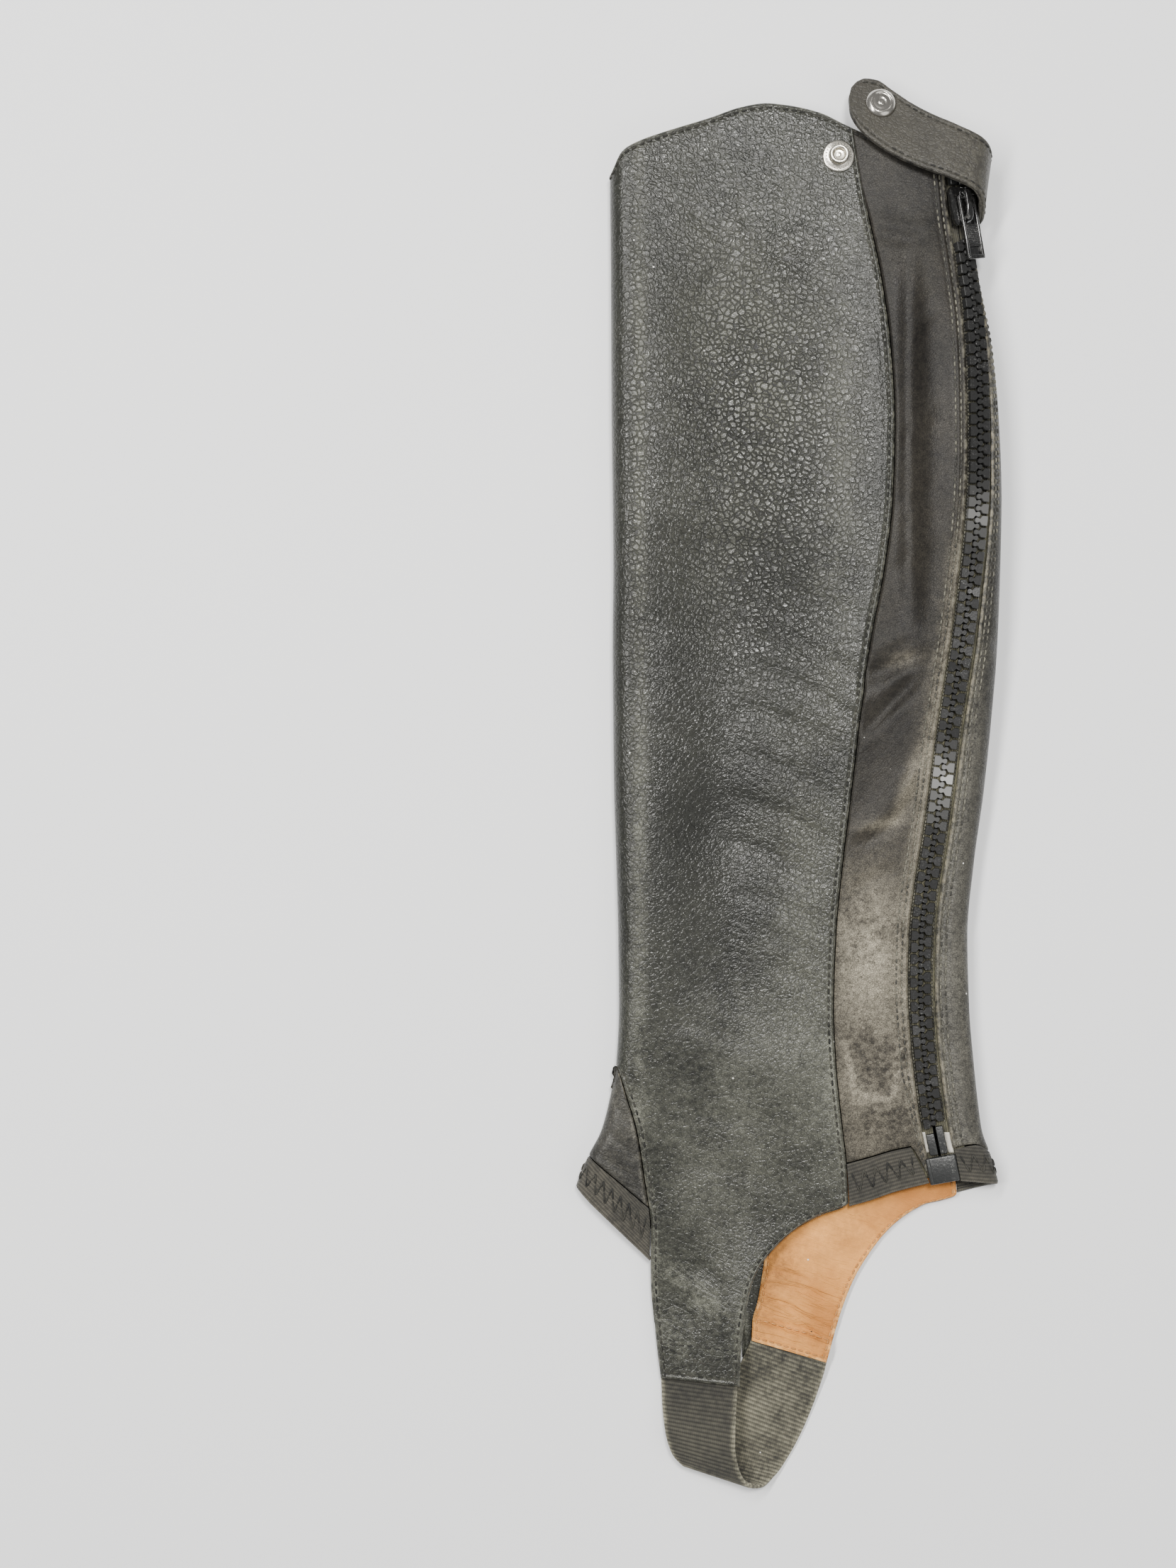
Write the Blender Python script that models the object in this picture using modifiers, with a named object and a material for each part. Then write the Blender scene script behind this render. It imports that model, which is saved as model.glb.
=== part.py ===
"""A leather half chap for the right leg, laid flat with its strap undone.

The garment is a flattened tube. Sections along the leg give its outer skin, and each piece of
leather, elastic or tape is a patch of that skin with its own wall. Sizes are in millimetres and
MM turns them into Blender's metres. While it is modelled, x = 0 is about the shin fold, y = 0 is
the ankle hem and z = 0 is the surface that it lies on; at the end it is centred on its box.
"""

import math
from collections import namedtuple
from functools import lru_cache

import bmesh
import bpy
import numpy as np
from mathutils import Matrix, Vector

MM = 0.001
SEAM_GAP = 0.3
SEAM_OPENING = 0.55
HEM_GAP = 0.6
LEATHER = 1.4
ELASTIC = 1.5
LOOP_ELASTIC = 1.8
STRAP = 2.6
LINING = 1.0
TAPE = 0.9
TAPE_DEPTH = 2.1
TAPE_WIDTH = 11.0
TAPE_INNER = 0.6
CHAIN_WIDTH = 8.4
CHAIN_PROUD = 0.8
CHAIN_THICKNESS = 2.5
TEETH_BOTTOM = 22.5
TEETH_TOP = 388.6
TAPE_BOTTOM = 10.8
TAPE_TOP = 412.0
LEFT_EDGE_GAP = 1.0
RIGHT_EDGE_GAP = 1.7
BOX_WIDTH = 12.4

# Rows and columns of the larger grids.
MAIN_ROWS = 36
MAIN_INNER_COLUMNS = 6
MAIN_ROLL_COLUMNS = 6
MAIN_FRONT_COLUMNS = 11
TONGUE_ROWS = 17
TONGUE_SEAM_ROWS = 6
STRETCH_ROWS = 38
STRETCH_COLUMNS = 6
BACK_ROWS = 34
BACK_COLUMNS = 8
BINDING_ROWS = 2
GUSSET_ROWS = 6
GUSSET_COLUMNS = 6
GUSSET_BUNCHING = 1.7
CHAIN_ROWS = 30
STRAP_STATIONS = 30
STRAP_COLUMNS = 4
LOOP_STATIONS = 30
LOOP_COLUMNS = 4
LINING_COLUMNS = 5

# Rows are straight between these heights and fan out to the curved hems beyond them.
TOP_FAN = 378.0
TOP_ROW = 420.0
LOW_FAN = 44.0
LOW_ROW = 15.0

# The tube's section at height y: where the shin and back folds lie, how far each roll reaches
# in, how high it stands, and the height of the sheet between the folds.
Section = namedtuple("Section", "y shin_x shin_roll shin_top back_x back_roll back_top middle")
SECTIONS = (
    Section(-40.0, -15.3, 6.0, 9.5, 159.0, 8.0, 12.0, 9.5),
    Section(-4.0, -15.3, 6.0, 9.5, 158.6, 8.0, 12.0, 9.5),
    Section(0.0, -14.2, 6.0, 10.0, 157.8, 8.0, 12.0, 9.5),
    Section(10.0, -9.9, 6.3, 10.8, 154.9, 8.0, 12.0, 9.6),
    Section(20.0, -4.8, 6.6, 11.5, 151.4, 8.0, 12.0, 9.8),
    Section(32.0, -1.6, 7.0, 12.2, 149.7, 8.0, 12.0, 10.0),
    Section(47.0, 1.2, 7.2, 13.0, 148.1, 8.0, 12.0, 10.0),
    Section(70.0, 2.3, 7.5, 14.0, 146.2, 8.0, 12.0, 10.0),
    Section(100.0, 2.0, 7.6, 14.5, 145.4, 8.2, 12.5, 10.0),
    Section(130.0, 1.2, 8.0, 15.0, 148.0, 9.0, 13.5, 10.0),
    Section(160.0, 0.3, 8.0, 15.0, 152.0, 10.5, 15.5, 10.0),
    Section(190.0, -0.1, 8.0, 15.0, 154.9, 12.0, 18.0, 10.2),
    Section(220.0, -0.3, 8.0, 15.0, 157.1, 13.0, 20.5, 10.5),
    Section(250.0, 0.0, 8.0, 15.5, 158.1, 14.0, 22.0, 10.8),
    Section(280.0, -0.3, 8.0, 15.5, 158.6, 14.0, 23.0, 11.0),
    Section(310.0, -0.7, 8.0, 15.5, 157.5, 14.0, 23.0, 11.2),
    Section(340.0, -0.9, 8.0, 15.0, 154.6, 14.0, 22.0, 11.5),
    Section(370.0, -1.0, 7.6, 14.5, 149.1, 13.0, 18.5, 11.6),
    Section(400.0, -1.3, 7.2, 14.0, 145.6, 12.0, 15.0, 11.6),
    Section(445.0, -1.6, 7.0, 13.5, 145.0, 11.5, 14.5, 11.6),
)
SHIN_FALL = 42.0
BACK_FALL = 40.0
ROLL_CLEAR = 10.0
STRAP_LIFT = STRAP + 0.4

# Seams and edges read off the front: the main seam and the middle of the zip at height y.
Line = namedtuple("Line", "y x")
MAIN_SEAM = (
    Line(-12.0, 96.5), Line(5.0, 95.5), Line(25.0, 93.2), Line(45.0, 91.2), Line(70.0, 90.0),
    Line(100.0, 91.0), Line(130.0, 93.8), Line(160.0, 97.5), Line(190.0, 101.0), Line(220.0, 105.0),
    Line(250.0, 110.5), Line(280.0, 114.0), Line(310.0, 114.8), Line(340.0, 113.0),
    Line(370.0, 109.0), Line(400.0, 103.0), Line(425.0, 98.8), Line(445.0, 96.5),
)
ZIP_LINE = (
    Line(-8.0, 137.0), Line(0.0, 135.5), Line(10.0, 133.5), Line(20.0, 131.4), Line(40.0, 128.5),
    Line(60.0, 126.5), Line(80.0, 125.5), Line(100.0, 125.9), Line(120.0, 127.9),
    Line(140.0, 131.0), Line(160.0, 133.6), Line(180.0, 135.9), Line(200.0, 138.7),
    Line(220.0, 141.7), Line(240.0, 144.1), Line(260.0, 146.3), Line(280.0, 147.8),
    Line(300.0, 148.3), Line(325.0, 148.0), Line(350.0, 146.8), Line(370.0, 144.6),
    Line(395.0, 141.5), Line(425.0, 139.0),
)
REAR_SEAM_INSET = 17.0

# Hem heights at x: the top of the outer side, the top of the inner side, and both edges of the
# elastic on the stretch panel.
Hem = namedtuple("Hem", "x y")
OUTER_TOP = (
    Hem(-6.0, 410.5), Hem(-1.5, 412.0), Hem(3.0, 420.0), Hem(10.0, 424.3), Hem(20.0, 428.0),
    Hem(40.0, 434.3), Hem(54.0, 438.9), Hem(64.0, 440.4), Hem(74.0, 439.4), Hem(86.0, 436.6),
    Hem(97.0, 431.2), Hem(110.0, 425.0), Hem(125.0, 421.0), Hem(138.0, 418.0), Hem(146.0, 416.0),
    Hem(160.0, 415.0),
)
INNER_TOP = (
    Hem(-6.0, 410.5), Hem(-1.5, 412.0), Hem(10.0, 418.0), Hem(30.0, 424.0), Hem(60.0, 428.0),
    Hem(90.0, 424.0), Hem(120.0, 417.5), Hem(138.0, 415.5), Hem(146.0, 416.0), Hem(160.0, 415.0),
)
STRETCH_BINDING_TOP = (Hem(94.0, 6.0), Hem(105.0, 9.0), Hem(115.0, 12.0), Hem(130.0, 15.0))
STRETCH_BINDING_LOW = (Hem(94.0, -11.6), Hem(105.0, -8.5), Hem(115.0, -5.0), Hem(130.0, -1.0))
# The elastic on the back strip, at shares of the way from the zip to the rear seam.
BackHem = namedtuple("BackHem", "share top low")
BACK_HEM = (
    BackHem(0.0, 13.0, -0.2), BackHem(0.25, 14.5, -1.0), BackHem(0.5, 11.0, -2.0),
    BackHem(0.75, 10.0, -4.0), BackHem(1.0, 9.0, -6.4),
)

# Outlines in plan, each from its upper end down: the gusset's fold and two seams, and the
# edges of the two tongues of the main panel.
Spot = namedtuple("Spot", "x y")
GUSSET_FOLD = (Spot(1.2, 47.0), Spot(-1.6, 32.0), Spot(-4.8, 20.0), Spot(-9.9, 10.0), Spot(-15.3, -4.0))
GUSSET_FRONT_SEAM = (
    Spot(1.2, 47.0), Spot(5.0, 36.0), Spot(9.8, 20.0), Spot(13.0, 0.0), Spot(15.5, -20.0),
    Spot(15.4, -34.0),
)
GUSSET_REAR_SEAM = (
    Spot(1.2, 47.0), Spot(7.0, 36.0), Spot(14.0, 20.0), Spot(22.0, 0.0), Spot(30.0, -20.0),
    Spot(34.0, -32.0),
)
GUSSET_FROM = 0.08
GUSSET_BINDING_FROM = 0.73
GUSSET_BINDING_GAP = 0.008
GUSSET_SEAM_GAP = 0.75
FRONT_TONGUE_SHIN = (Spot(15.6, -45.0), Spot(17.0, -60.0), Spot(18.2, -72.0), Spot(19.5, -82.0))
FRONT_TONGUE_HEEL = (
    Spot(96.5, -10.3), Spot(87.0, -13.2), Spot(77.0, -18.5), Spot(67.5, -26.2), Spot(60.5, -34.5),
    Spot(56.5, -43.0), Spot(54.0, -54.0), Spot(52.2, -68.0), Spot(51.5, -84.2),
)
REAR_TONGUE_SHIN = (Spot(42.0, -40.0), Spot(49.0, -47.5), Spot(53.0, -56.0), Spot(54.5, -67.0))
REAR_TONGUE_HEEL = (
    Spot(141.9, -6.3), Spot(128.0, -10.9), Spot(117.0, -18.0), Spot(107.5, -28.5), Spot(99.5, -41.5),
    Spot(94.5, -54.0), Spot(91.0, -66.0), Spot(88.0, -77.0),
)
LINING_SHIN = (
    Spot(66.0, 26.0), Spot(65.0, -10.0), Spot(62.0, -36.0), Spot(59.5, -51.0), Spot(57.2, -60.0),
    Spot(57.0, -66.8),
)
LINING_HEEL = (
    Spot(138.0, 26.0), Spot(141.5, -6.4), Spot(127.7, -11.2), Spot(116.7, -18.3), Spot(107.2, -28.8),
    Spot(99.2, -41.8), Spot(94.2, -54.3), Spot(90.6, -66.0), Spot(87.6, -75.8),
)
TONGUE_LOW = 5.0
TONGUE_HIGH = 13.0
LINING_RISE = 2.2
LINING_STEP = 10.5
LINING_SHARES = (0.0, 0.2, 0.4, 0.55, 0.68, 0.78, 0.85, 0.88, 0.905, 0.93, 0.955, 0.98, 1.0)

FOLD_FADE = 0.2

# Soft folds of the front, each a trough (below 0) or ridge along a line, fading at both ends.
Fold = namedtuple("Fold", "x0 y0 x1 y1 height width")
FOLDS = (
    Fold(121.0, 372.0, 121.5, 232.0, -3.2, 6.5),
    Fold(104.0, 206.0, 127.0, 215.0, -1.6, 5.0),
    Fold(104.0, 184.0, 124.0, 206.0, -1.4, 4.5),
    Fold(100.0, 194.0, 122.0, 214.0, 1.0, 5.0),
    Fold(100.0, 142.0, 122.0, 166.0, 1.4, 5.0),
    Fold(20.0, 255.0, 96.0, 235.0, -1.2, 26.0),
    Fold(28.0, 350.0, 92.0, 372.0, -1.2, 24.0),
    Fold(30.0, 150.0, 84.0, 128.0, -1.3, 24.0),
    Fold(30.0, 62.0, 80.0, 40.0, 1.2, 20.0),
    Fold(24.0, -52.0, 46.0, -40.0, 1.2, 6.0),
)

# The closing strap from its root under the rear sheet, round the back fold, to its tip. Each
# rung gives the middle of the strap's thickness at its lower and upper edge.
Rung = namedtuple("Rung", "x0 y0 z0 x1 y1 z1")
STRAP_RUNGS = (
    Rung(123.0, 388.8, 1.3, 123.0, 413.0, 1.3), Rung(133.0, 388.6, 1.3, 134.0, 413.6, 1.3),
    Rung(142.0, 389.0, 1.4, 145.0, 415.0, 1.4), Rung(147.8, 390.2, 5.5, 151.2, 417.0, 4.8),
    Rung(150.0, 392.6, 12.0, 153.6, 419.5, 10.5), Rung(149.4, 397.8, 19.2, 151.8, 422.4, 16.6),
    Rung(145.6, 402.6, 23.2, 147.6, 425.4, 19.2), Rung(136.5, 407.0, 23.4, 138.8, 429.7, 18.8),
    Rung(126.0, 411.3, 21.4, 129.6, 434.4, 16.2), Rung(116.0, 416.0, 19.4, 121.0, 439.8, 13.4),
    Rung(107.5, 421.5, 18.4, 113.4, 445.4, 11.8), Rung(101.5, 426.6, 18.0, 107.4, 449.4, 11.3),
    Rung(97.9, 431.2, 17.2, 102.8, 450.0, 11.2), Rung(96.1, 436.2, 15.9, 99.5, 448.7, 11.8),
    Rung(95.8, 441.2, 14.3, 97.0, 446.0, 12.8),
)
STRAP_SNAP = Spot(108.5, 438.8)

# The stirrup elastic from under the front tongue, round its turn, to the rear tongue.
LOOP_RUNGS = (
    Rung(19.2, -70.0, 2.5, 50.0, -72.0, 9.0), Rung(20.0, -83.0, 2.4, 50.6, -86.0, 9.1),
    Rung(20.4, -93.0, 3.4, 50.0, -96.0, 10.4), Rung(21.6, -104.0, 5.4, 49.6, -109.0, 12.0),
    Rung(24.0, -112.0, 6.8, 51.6, -119.0, 12.0), Rung(28.0, -116.6, 6.6, 56.0, -125.0, 10.0),
    Rung(31.0, -117.4, 4.4, 61.0, -126.4, 6.0), Rung(34.5, -114.0, 1.6, 66.5, -122.8, 2.2),
    Rung(39.6, -104.5, 0.9, 71.6, -116.0, 0.9), Rung(47.4, -89.0, 0.9, 79.4, -101.0, 0.9),
    Rung(53.8, -74.0, 1.2, 85.0, -86.0, 1.2), Rung(56.4, -68.0, 2.7, 87.2, -78.4, 2.7),
    Rung(58.4, -62.0, 2.7, 88.6, -71.5, 2.7),
)

# Snap parts as turned profiles: radius and height, from the axis down the outer side.
STUD = Spot(92.0, 418.5)
STUD_SEAT = 0.5
SNAP_SEAT = 0.45
STUD_PROFILE = (
    (0.0, 1.6), (1.75, 1.6), (1.75, 5.0), (3.3, 5.0), (4.0, 4.3), (3.5, 2.6), (3.5, 1.2),
    (5.9, 0.9), (6.5, 0.4), (6.4, 0.0), (0.0, 0.0),
)
CAP_PROFILE = (
    (0.0, 1.5), (3.6, 1.4), (4.0, 1.9), (4.9, 1.9), (5.8, 1.3), (6.25, 0.5), (6.2, 0.0), (0.0, 0.0),
)
SOCKET_PROFILE = (
    (0.0, 0.0), (6.0, 0.0), (6.0, -1.0), (5.3, -3.2), (4.2, -3.2), (4.2, -1.0), (0.0, -1.0),
)

# The zip's small hard parts, along the zip's own frame at SLIDER_AT.
ZipEnd = namedtuple("ZipEnd", "name low high side")
ZIP_ENDS = (
    ZipEnd("zip_post", 10.8, 19.5, -1), ZipEnd("zip_pin", 10.8, 22.0, 1),
    ZipEnd("zip_stop_left", 406.3, 410.0, -1), ZipEnd("zip_stop_right", 406.3, 410.0, 1),
)
ZIP_END_OFFSET = 2.0
SLIDER_AT = 397.0
SLIDER_WIDTH = 12.4
SLIDER_LENGTH = 15.8
SLIDER_LOW = 0.7
SLIDER_TOP = 3.5
BRIDGE_WIDTH = 2.8
BRIDGE_OUTLINE = (
    (6.6, 3.0), (6.5, 5.6), (5.2, 7.3), (-4.6, 7.3), (-6.4, 6.2), (-7.3, 3.0),
    (-6.0, 3.0), (-5.4, 5.3), (-4.2, 6.2), (4.4, 6.2), (5.2, 5.3), (5.2, 3.0),
)
PULL_PIVOT = 3.4
PULL_HEIGHT = 4.9
PULL_SKEW = 5.0
PULL_WIDTH = 8.2
PULL_LENGTH = 25.6
PULL_BAR = 1.6
PULL_THICKNESS = 1.6
PULL_EYE = 5.6
PULL_EYE_LOW = 11.2
PULL_SLOT = 5.8
PULL_SLOT_TOP = 20.4


def smooth_step(t):
    """Rises from 0 to 1 with level ends."""
    t = min(max(t, 0.0), 1.0)
    return t * t * (3.0 - 2.0 * t)


def through(places, values):
    """A smooth function through the values given at rising places, level past both ends.

    Its slope is 0 where the values turn, so that it never swings past them.
    """
    places = np.asarray(places, float)
    values = np.asarray(values, float)
    steps = np.diff(places)
    slopes = np.diff(values) / steps
    before = slopes[:-1]
    after = slopes[1:]
    turning = before * after <= 0.0
    both = np.where(turning, 1.0, before + after)
    inner = np.where(turning, 0.0, 2.0 * before * after / both)
    tangents = np.concatenate([slopes[:1], inner, slopes[-1:]])

    def at(place):
        place = min(max(place, places[0]), places[-1])
        i = min(int(np.searchsorted(places, place, side="right")) - 1, len(steps) - 1)
        t = (place - places[i]) / steps[i]
        start = values[i] * (1 + 2 * t) * (1 - t) ** 2 + tangents[i] * steps[i] * t * (1 - t) ** 2
        end = values[i + 1] * t * t * (3 - 2 * t) + tangents[i + 1] * steps[i] * t * t * (t - 1)
        return float(start + end)

    return at


def column(rows, place, value):
    """The smooth function that one column of a table gives of another."""
    return through([getattr(row, place) for row in rows], [getattr(row, value) for row in rows])


def outline(spots):
    """A smooth curve in plan through the spots, as a function of a share from 0 to 1."""
    points = np.array([(spot.x, spot.y) for spot in spots])
    lengths = np.concatenate([[0.0], np.cumsum(np.hypot(*np.diff(points, axis=0).T))])
    along_x = through(lengths / lengths[-1], points[:, 0])
    along_y = through(lengths / lengths[-1], points[:, 1])
    return lambda share: np.array([along_x(share), along_y(share)])


def shares(count):
    """Evenly spread shares from 0 to 1."""
    return [i / count for i in range(count + 1)]


SECTION_COLUMNS = [column(SECTIONS, "y", name) for name in Section._fields[1:]]
main_seam_x = column(MAIN_SEAM, "y", "x")
zip_x = column(ZIP_LINE, "y", "x")
outer_top_y = column(OUTER_TOP, "x", "y")
inner_top_y = column(INNER_TOP, "x", "y")


@lru_cache(maxsize=None)
def section(y):
    """The tube's section at any height."""
    return Section(y, *(value(y) for value in SECTION_COLUMNS))


def rear_seam_x(y):
    """Where the rear seam crosses the inner side at height y."""
    return section(y).back_x - REAR_SEAM_INSET


def quarter(inset, roll):
    """How far up its quarter turn a roll is at an inset from its fold line, 0 to 1."""
    reach = min(max(1.0 - inset / roll, 0.0), 1.0)
    return math.sqrt(1.0 - reach * reach)


def fold_relief(x, y):
    """What the soft folds add to the front's height."""
    total = 0.0
    for fold in FOLDS:
        run_x = fold.x1 - fold.x0
        run_y = fold.y1 - fold.y0
        span = math.hypot(run_x, run_y)
        along = ((x - fold.x0) * run_x + (y - fold.y0) * run_y) / (span * span)
        across = abs((x - fold.x0) * run_y - (y - fold.y0) * run_x) / span
        if across < 2.0 * fold.width and abs(along - 0.5) < 0.5 + FOLD_FADE:
            start = smooth_step((along + FOLD_FADE) / (2.0 * FOLD_FADE))
            end = smooth_step((1.0 + FOLD_FADE - along) / (2.0 * FOLD_FADE))
            total += fold.height * start * end * math.exp(-2.0 * (across / fold.width) ** 2)
    return total


def front_height(x, y):
    """Height of the outer skin of the side that faces up."""
    here = section(y)
    from_shin = x - here.shin_x
    from_back = here.back_x - x
    if from_shin < here.shin_roll:
        height = here.shin_top / 2.0 * (1.0 + quarter(from_shin, here.shin_roll))
    elif from_back < here.back_roll:
        height = here.back_top / 2.0 * (1.0 + quarter(from_back, here.back_roll))
    else:
        shin_reach = from_shin - here.shin_roll
        back_reach = from_back - here.back_roll
        height = here.middle
        height += (here.shin_top - here.middle) * (1.0 - smooth_step(shin_reach / SHIN_FALL))
        height += (here.back_top - here.middle) * (1.0 - smooth_step(back_reach / BACK_FALL))
        height += fold_relief(x, y) * smooth_step(min(shin_reach, back_reach) / ROLL_CLEAR)
    tongue_share = min(max((x - 17.0) / 38.0, 0.0), 1.0)
    tongue_height = TONGUE_LOW + (TONGUE_HIGH - TONGUE_LOW) * tongue_share
    return height + (tongue_height - height) * smooth_step((-12.0 - y) / 44.0)


def strap_lift(x, y):
    """How far the inner side rises to let the strap's root lie flat under it."""
    return STRAP_LIFT * smooth_step((x - 94.0) / 12.0) * smooth_step((y - 366.0) / 12.0)


def rear_height(x, y):
    """Height of the outer skin of the side that faces down."""
    here = section(y)
    lift = strap_lift(x, y)
    from_shin = x - here.shin_x
    from_back = here.back_x - x
    if from_shin < here.shin_roll:
        return here.shin_top / 2.0 * (1.0 - quarter(from_shin, here.shin_roll))
    if from_back < here.back_roll:
        return lift + (here.back_top / 2.0 - lift) * (1.0 - quarter(from_back, here.back_roll))
    return lift


class Ring:
    """The outer skin at one height y as a path, measured from the shin fold.

    Distances below 0 run under the shin fold along the inner side, and distances above 0 run
    over the front, round the back fold and back along the inner side.
    """

    def __init__(self, y):
        here = section(y)
        turn = np.linspace(0.0, math.pi / 2.0, 10)
        shin = here.shin_x + here.shin_roll * (1.0 - np.cos(turn))
        back = here.back_x - here.back_roll * (1.0 - np.cos(turn[::-1]))
        across = np.concatenate([shin, np.linspace(shin[-1], back[0], 46)[1:-1], back])
        front = [(x, front_height(x, y)) for x in across]
        rear = [(x, rear_height(x, y)) for x in across]
        path = np.array(rear[:0:-1] + front + rear[-2:0:-1])
        steps = np.concatenate([[0.0], np.cumsum(np.hypot(*np.diff(path, axis=0).T))])
        count = len(across)
        self.y = y
        self.path = path
        self.distance = steps - steps[count - 1]
        self.under = slice(0, count)
        self.front = slice(count - 1, 2 * count - 1)
        self.behind = slice(2 * count - 2, None)

    def on_front(self, x):
        """Distance of the front's point at x."""
        return float(np.interp(x, self.path[self.front, 0], self.distance[self.front]))

    def on_under(self, x):
        """Distance of the inner side's point at x, reached under the shin fold."""
        return float(np.interp(-x, -self.path[self.under, 0], self.distance[self.under]))

    def on_behind(self, x):
        """Distance of the inner side's point at x, reached round the back fold."""
        return float(np.interp(-x, -self.path[self.behind, 0], self.distance[self.behind]))

    def point(self, distance):
        """The skin's point at a distance."""
        x = np.interp(distance, self.distance, self.path[:, 0])
        z = np.interp(distance, self.distance, self.path[:, 1])
        return np.array([x, self.y, z])


@lru_cache(maxsize=None)
def ring_at(y):
    """The ring at a rounded height, made once."""
    return Ring(y)


def ring(y):
    """The ring at height y."""
    return ring_at(round(y, 3))


def skin_normal(y, distance):
    """The direction out of the tube's skin."""
    around = ring(y).point(distance + 0.8) - ring(y).point(distance - 0.8)
    along = ring(y + 1.0).point(distance) - ring(y - 1.0).point(distance)
    normal = np.cross(around, along)
    return normal / np.linalg.norm(normal)


def skin(y, distance, proud=0.0):
    """A point of the tube's skin, moved out along its normal."""
    place = ring(y).point(distance)
    if proud == 0.0:
        return place
    return place + proud * skin_normal(y, distance)


def zip_distance(y):
    """Distance of the middle of the zip at height y."""
    return ring(y).on_front(zip_x(y))


def fan(y, turn, edge, hem):
    """Height of a row that spreads from a straight one at turn to a curved hem at edge."""
    share = (y - turn) / (edge - turn)
    return turn + (hem - turn) * share if share > 0.0 else y


def on_hem(hem, distance, share, start):
    """Height at which a column at a share of the way across meets a hem given as y at x."""
    y = start
    for _ in range(4):
        y = hem(skin(y, distance(y, share))[0])
    return y


def material(name, colour, roughness, metallic=0.0):
    """A plain Principled material."""
    made = bpy.data.materials.new(name)
    made.use_nodes = True
    shader = made.node_tree.nodes["Principled BSDF"]
    shader.inputs["Base Color"].default_value = (*colour, 1.0)
    shader.inputs["Roughness"].default_value = roughness
    shader.inputs["Metallic"].default_value = metallic
    made.diffuse_color = (*colour, 1.0)
    return made


def place_object(name, mesh, collection, finish):
    """Puts a mesh in a collection under the name of its piece."""
    mesh.shade_smooth()
    mesh.set_sharp_from_angle(angle=math.radians(35.0))
    mesh.materials.clear()
    mesh.materials.append(finish)
    made = bpy.data.objects.new(name, mesh)
    collection.objects.link(made)
    return made


def vertex_rows(surface, rows):
    """Adds rows of points as bmesh vertices in metres."""
    return [[surface.verts.new(Vector(point) * MM) for point in row] for row in rows]


def weave_grid(surface, grid):
    """Joins rows of vertices, lowest first, with faces that look out of the skin."""
    for low, high in zip(grid, grid[1:]):
        for j in range(len(low) - 1):
            surface.faces.new((low[j], low[j + 1], high[j + 1], high[j]))


def wall_object(name, surface, thickness, collection, finish, inward=True):
    """Turns an open surface into a wall with Solidify."""
    mesh = bpy.data.meshes.new(name)
    surface.to_mesh(mesh)
    surface.free()
    made = place_object(name, mesh, collection, finish)
    wall = made.modifiers.new("Wall", "SOLIDIFY")
    wall.thickness = thickness * MM
    wall.offset = -1.0 if inward else 0.0
    wall.use_even_offset = True
    wall.use_quality_normals = True
    return made


def sheet_object(name, rows, thickness, collection, finish, inward=True):
    """A wall from one plain grid of points, lowest row first."""
    surface = bmesh.new()
    weave_grid(surface, vertex_rows(surface, rows))
    return wall_object(name, surface, thickness, collection, finish, inward)


def main_stations(y):
    """Distances of the main panel's columns: the inner side, the shin roll, then the front."""
    here = section(y)
    round_leg = ring(y)
    rear_edge = round_leg.on_under(rear_seam_x(y))
    under = round_leg.on_under(here.shin_x + here.shin_roll)
    over = round_leg.on_front(here.shin_x + here.shin_roll)
    seam = round_leg.on_front(main_seam_x(y))
    inner = [rear_edge + (under - rear_edge) * share for share in shares(MAIN_INNER_COLUMNS)]
    roll = [under + (over - under) * share for share in shares(MAIN_ROLL_COLUMNS)]
    front = [over + (seam - over) * share for share in shares(MAIN_FRONT_COLUMNS)]
    return inner[:-1] + roll + front[1:]


def main_row(y):
    """One row of the main panel above the gusset, fanned out to the top hems."""
    row = []
    for j, distance in enumerate(main_stations(y)):
        x = skin(y, distance)[0]
        hem = inner_top_y(x) if distance < 0.0 else outer_top_y(x)
        height = fan(y, TOP_FAN, TOP_ROW, hem)
        row.append(skin(height, main_stations(height)[j]))
    return row


def tongue_rows(shin_edge, seam_edge, heel_edge, first_row, height_at):
    """Rows of a tongue from its top down, ruled between its edges, spaced as its first row.

    The far edge follows the seam down to the hem's corner and then the curve cut to the heel.
    """
    span = first_row[-1][0] - first_row[0][0]
    spacing = [(point[0] - first_row[0][0]) / span for point in first_row]
    rows = []
    for i, share in enumerate(shares(TONGUE_ROWS)[1:], start=1):
        near = shin_edge(share)
        if i <= TONGUE_SEAM_ROWS:
            far = seam_edge(i / TONGUE_SEAM_ROWS)
        else:
            far = heel_edge((i - TONGUE_SEAM_ROWS) / (TONGUE_ROWS - TONGUE_SEAM_ROWS))
        row = [near + (far - near) * part for part in spacing]
        rows.append([(x, y, height_at(x, y)) for x, y in row])
    return rows


def seam_run(seam_x, top, low):
    """A seam given as x at height y, as a curve in plan from its top down."""
    def at(share):
        y = top + (low - top) * share
        return np.array([seam_x(y), y])

    return at


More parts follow.
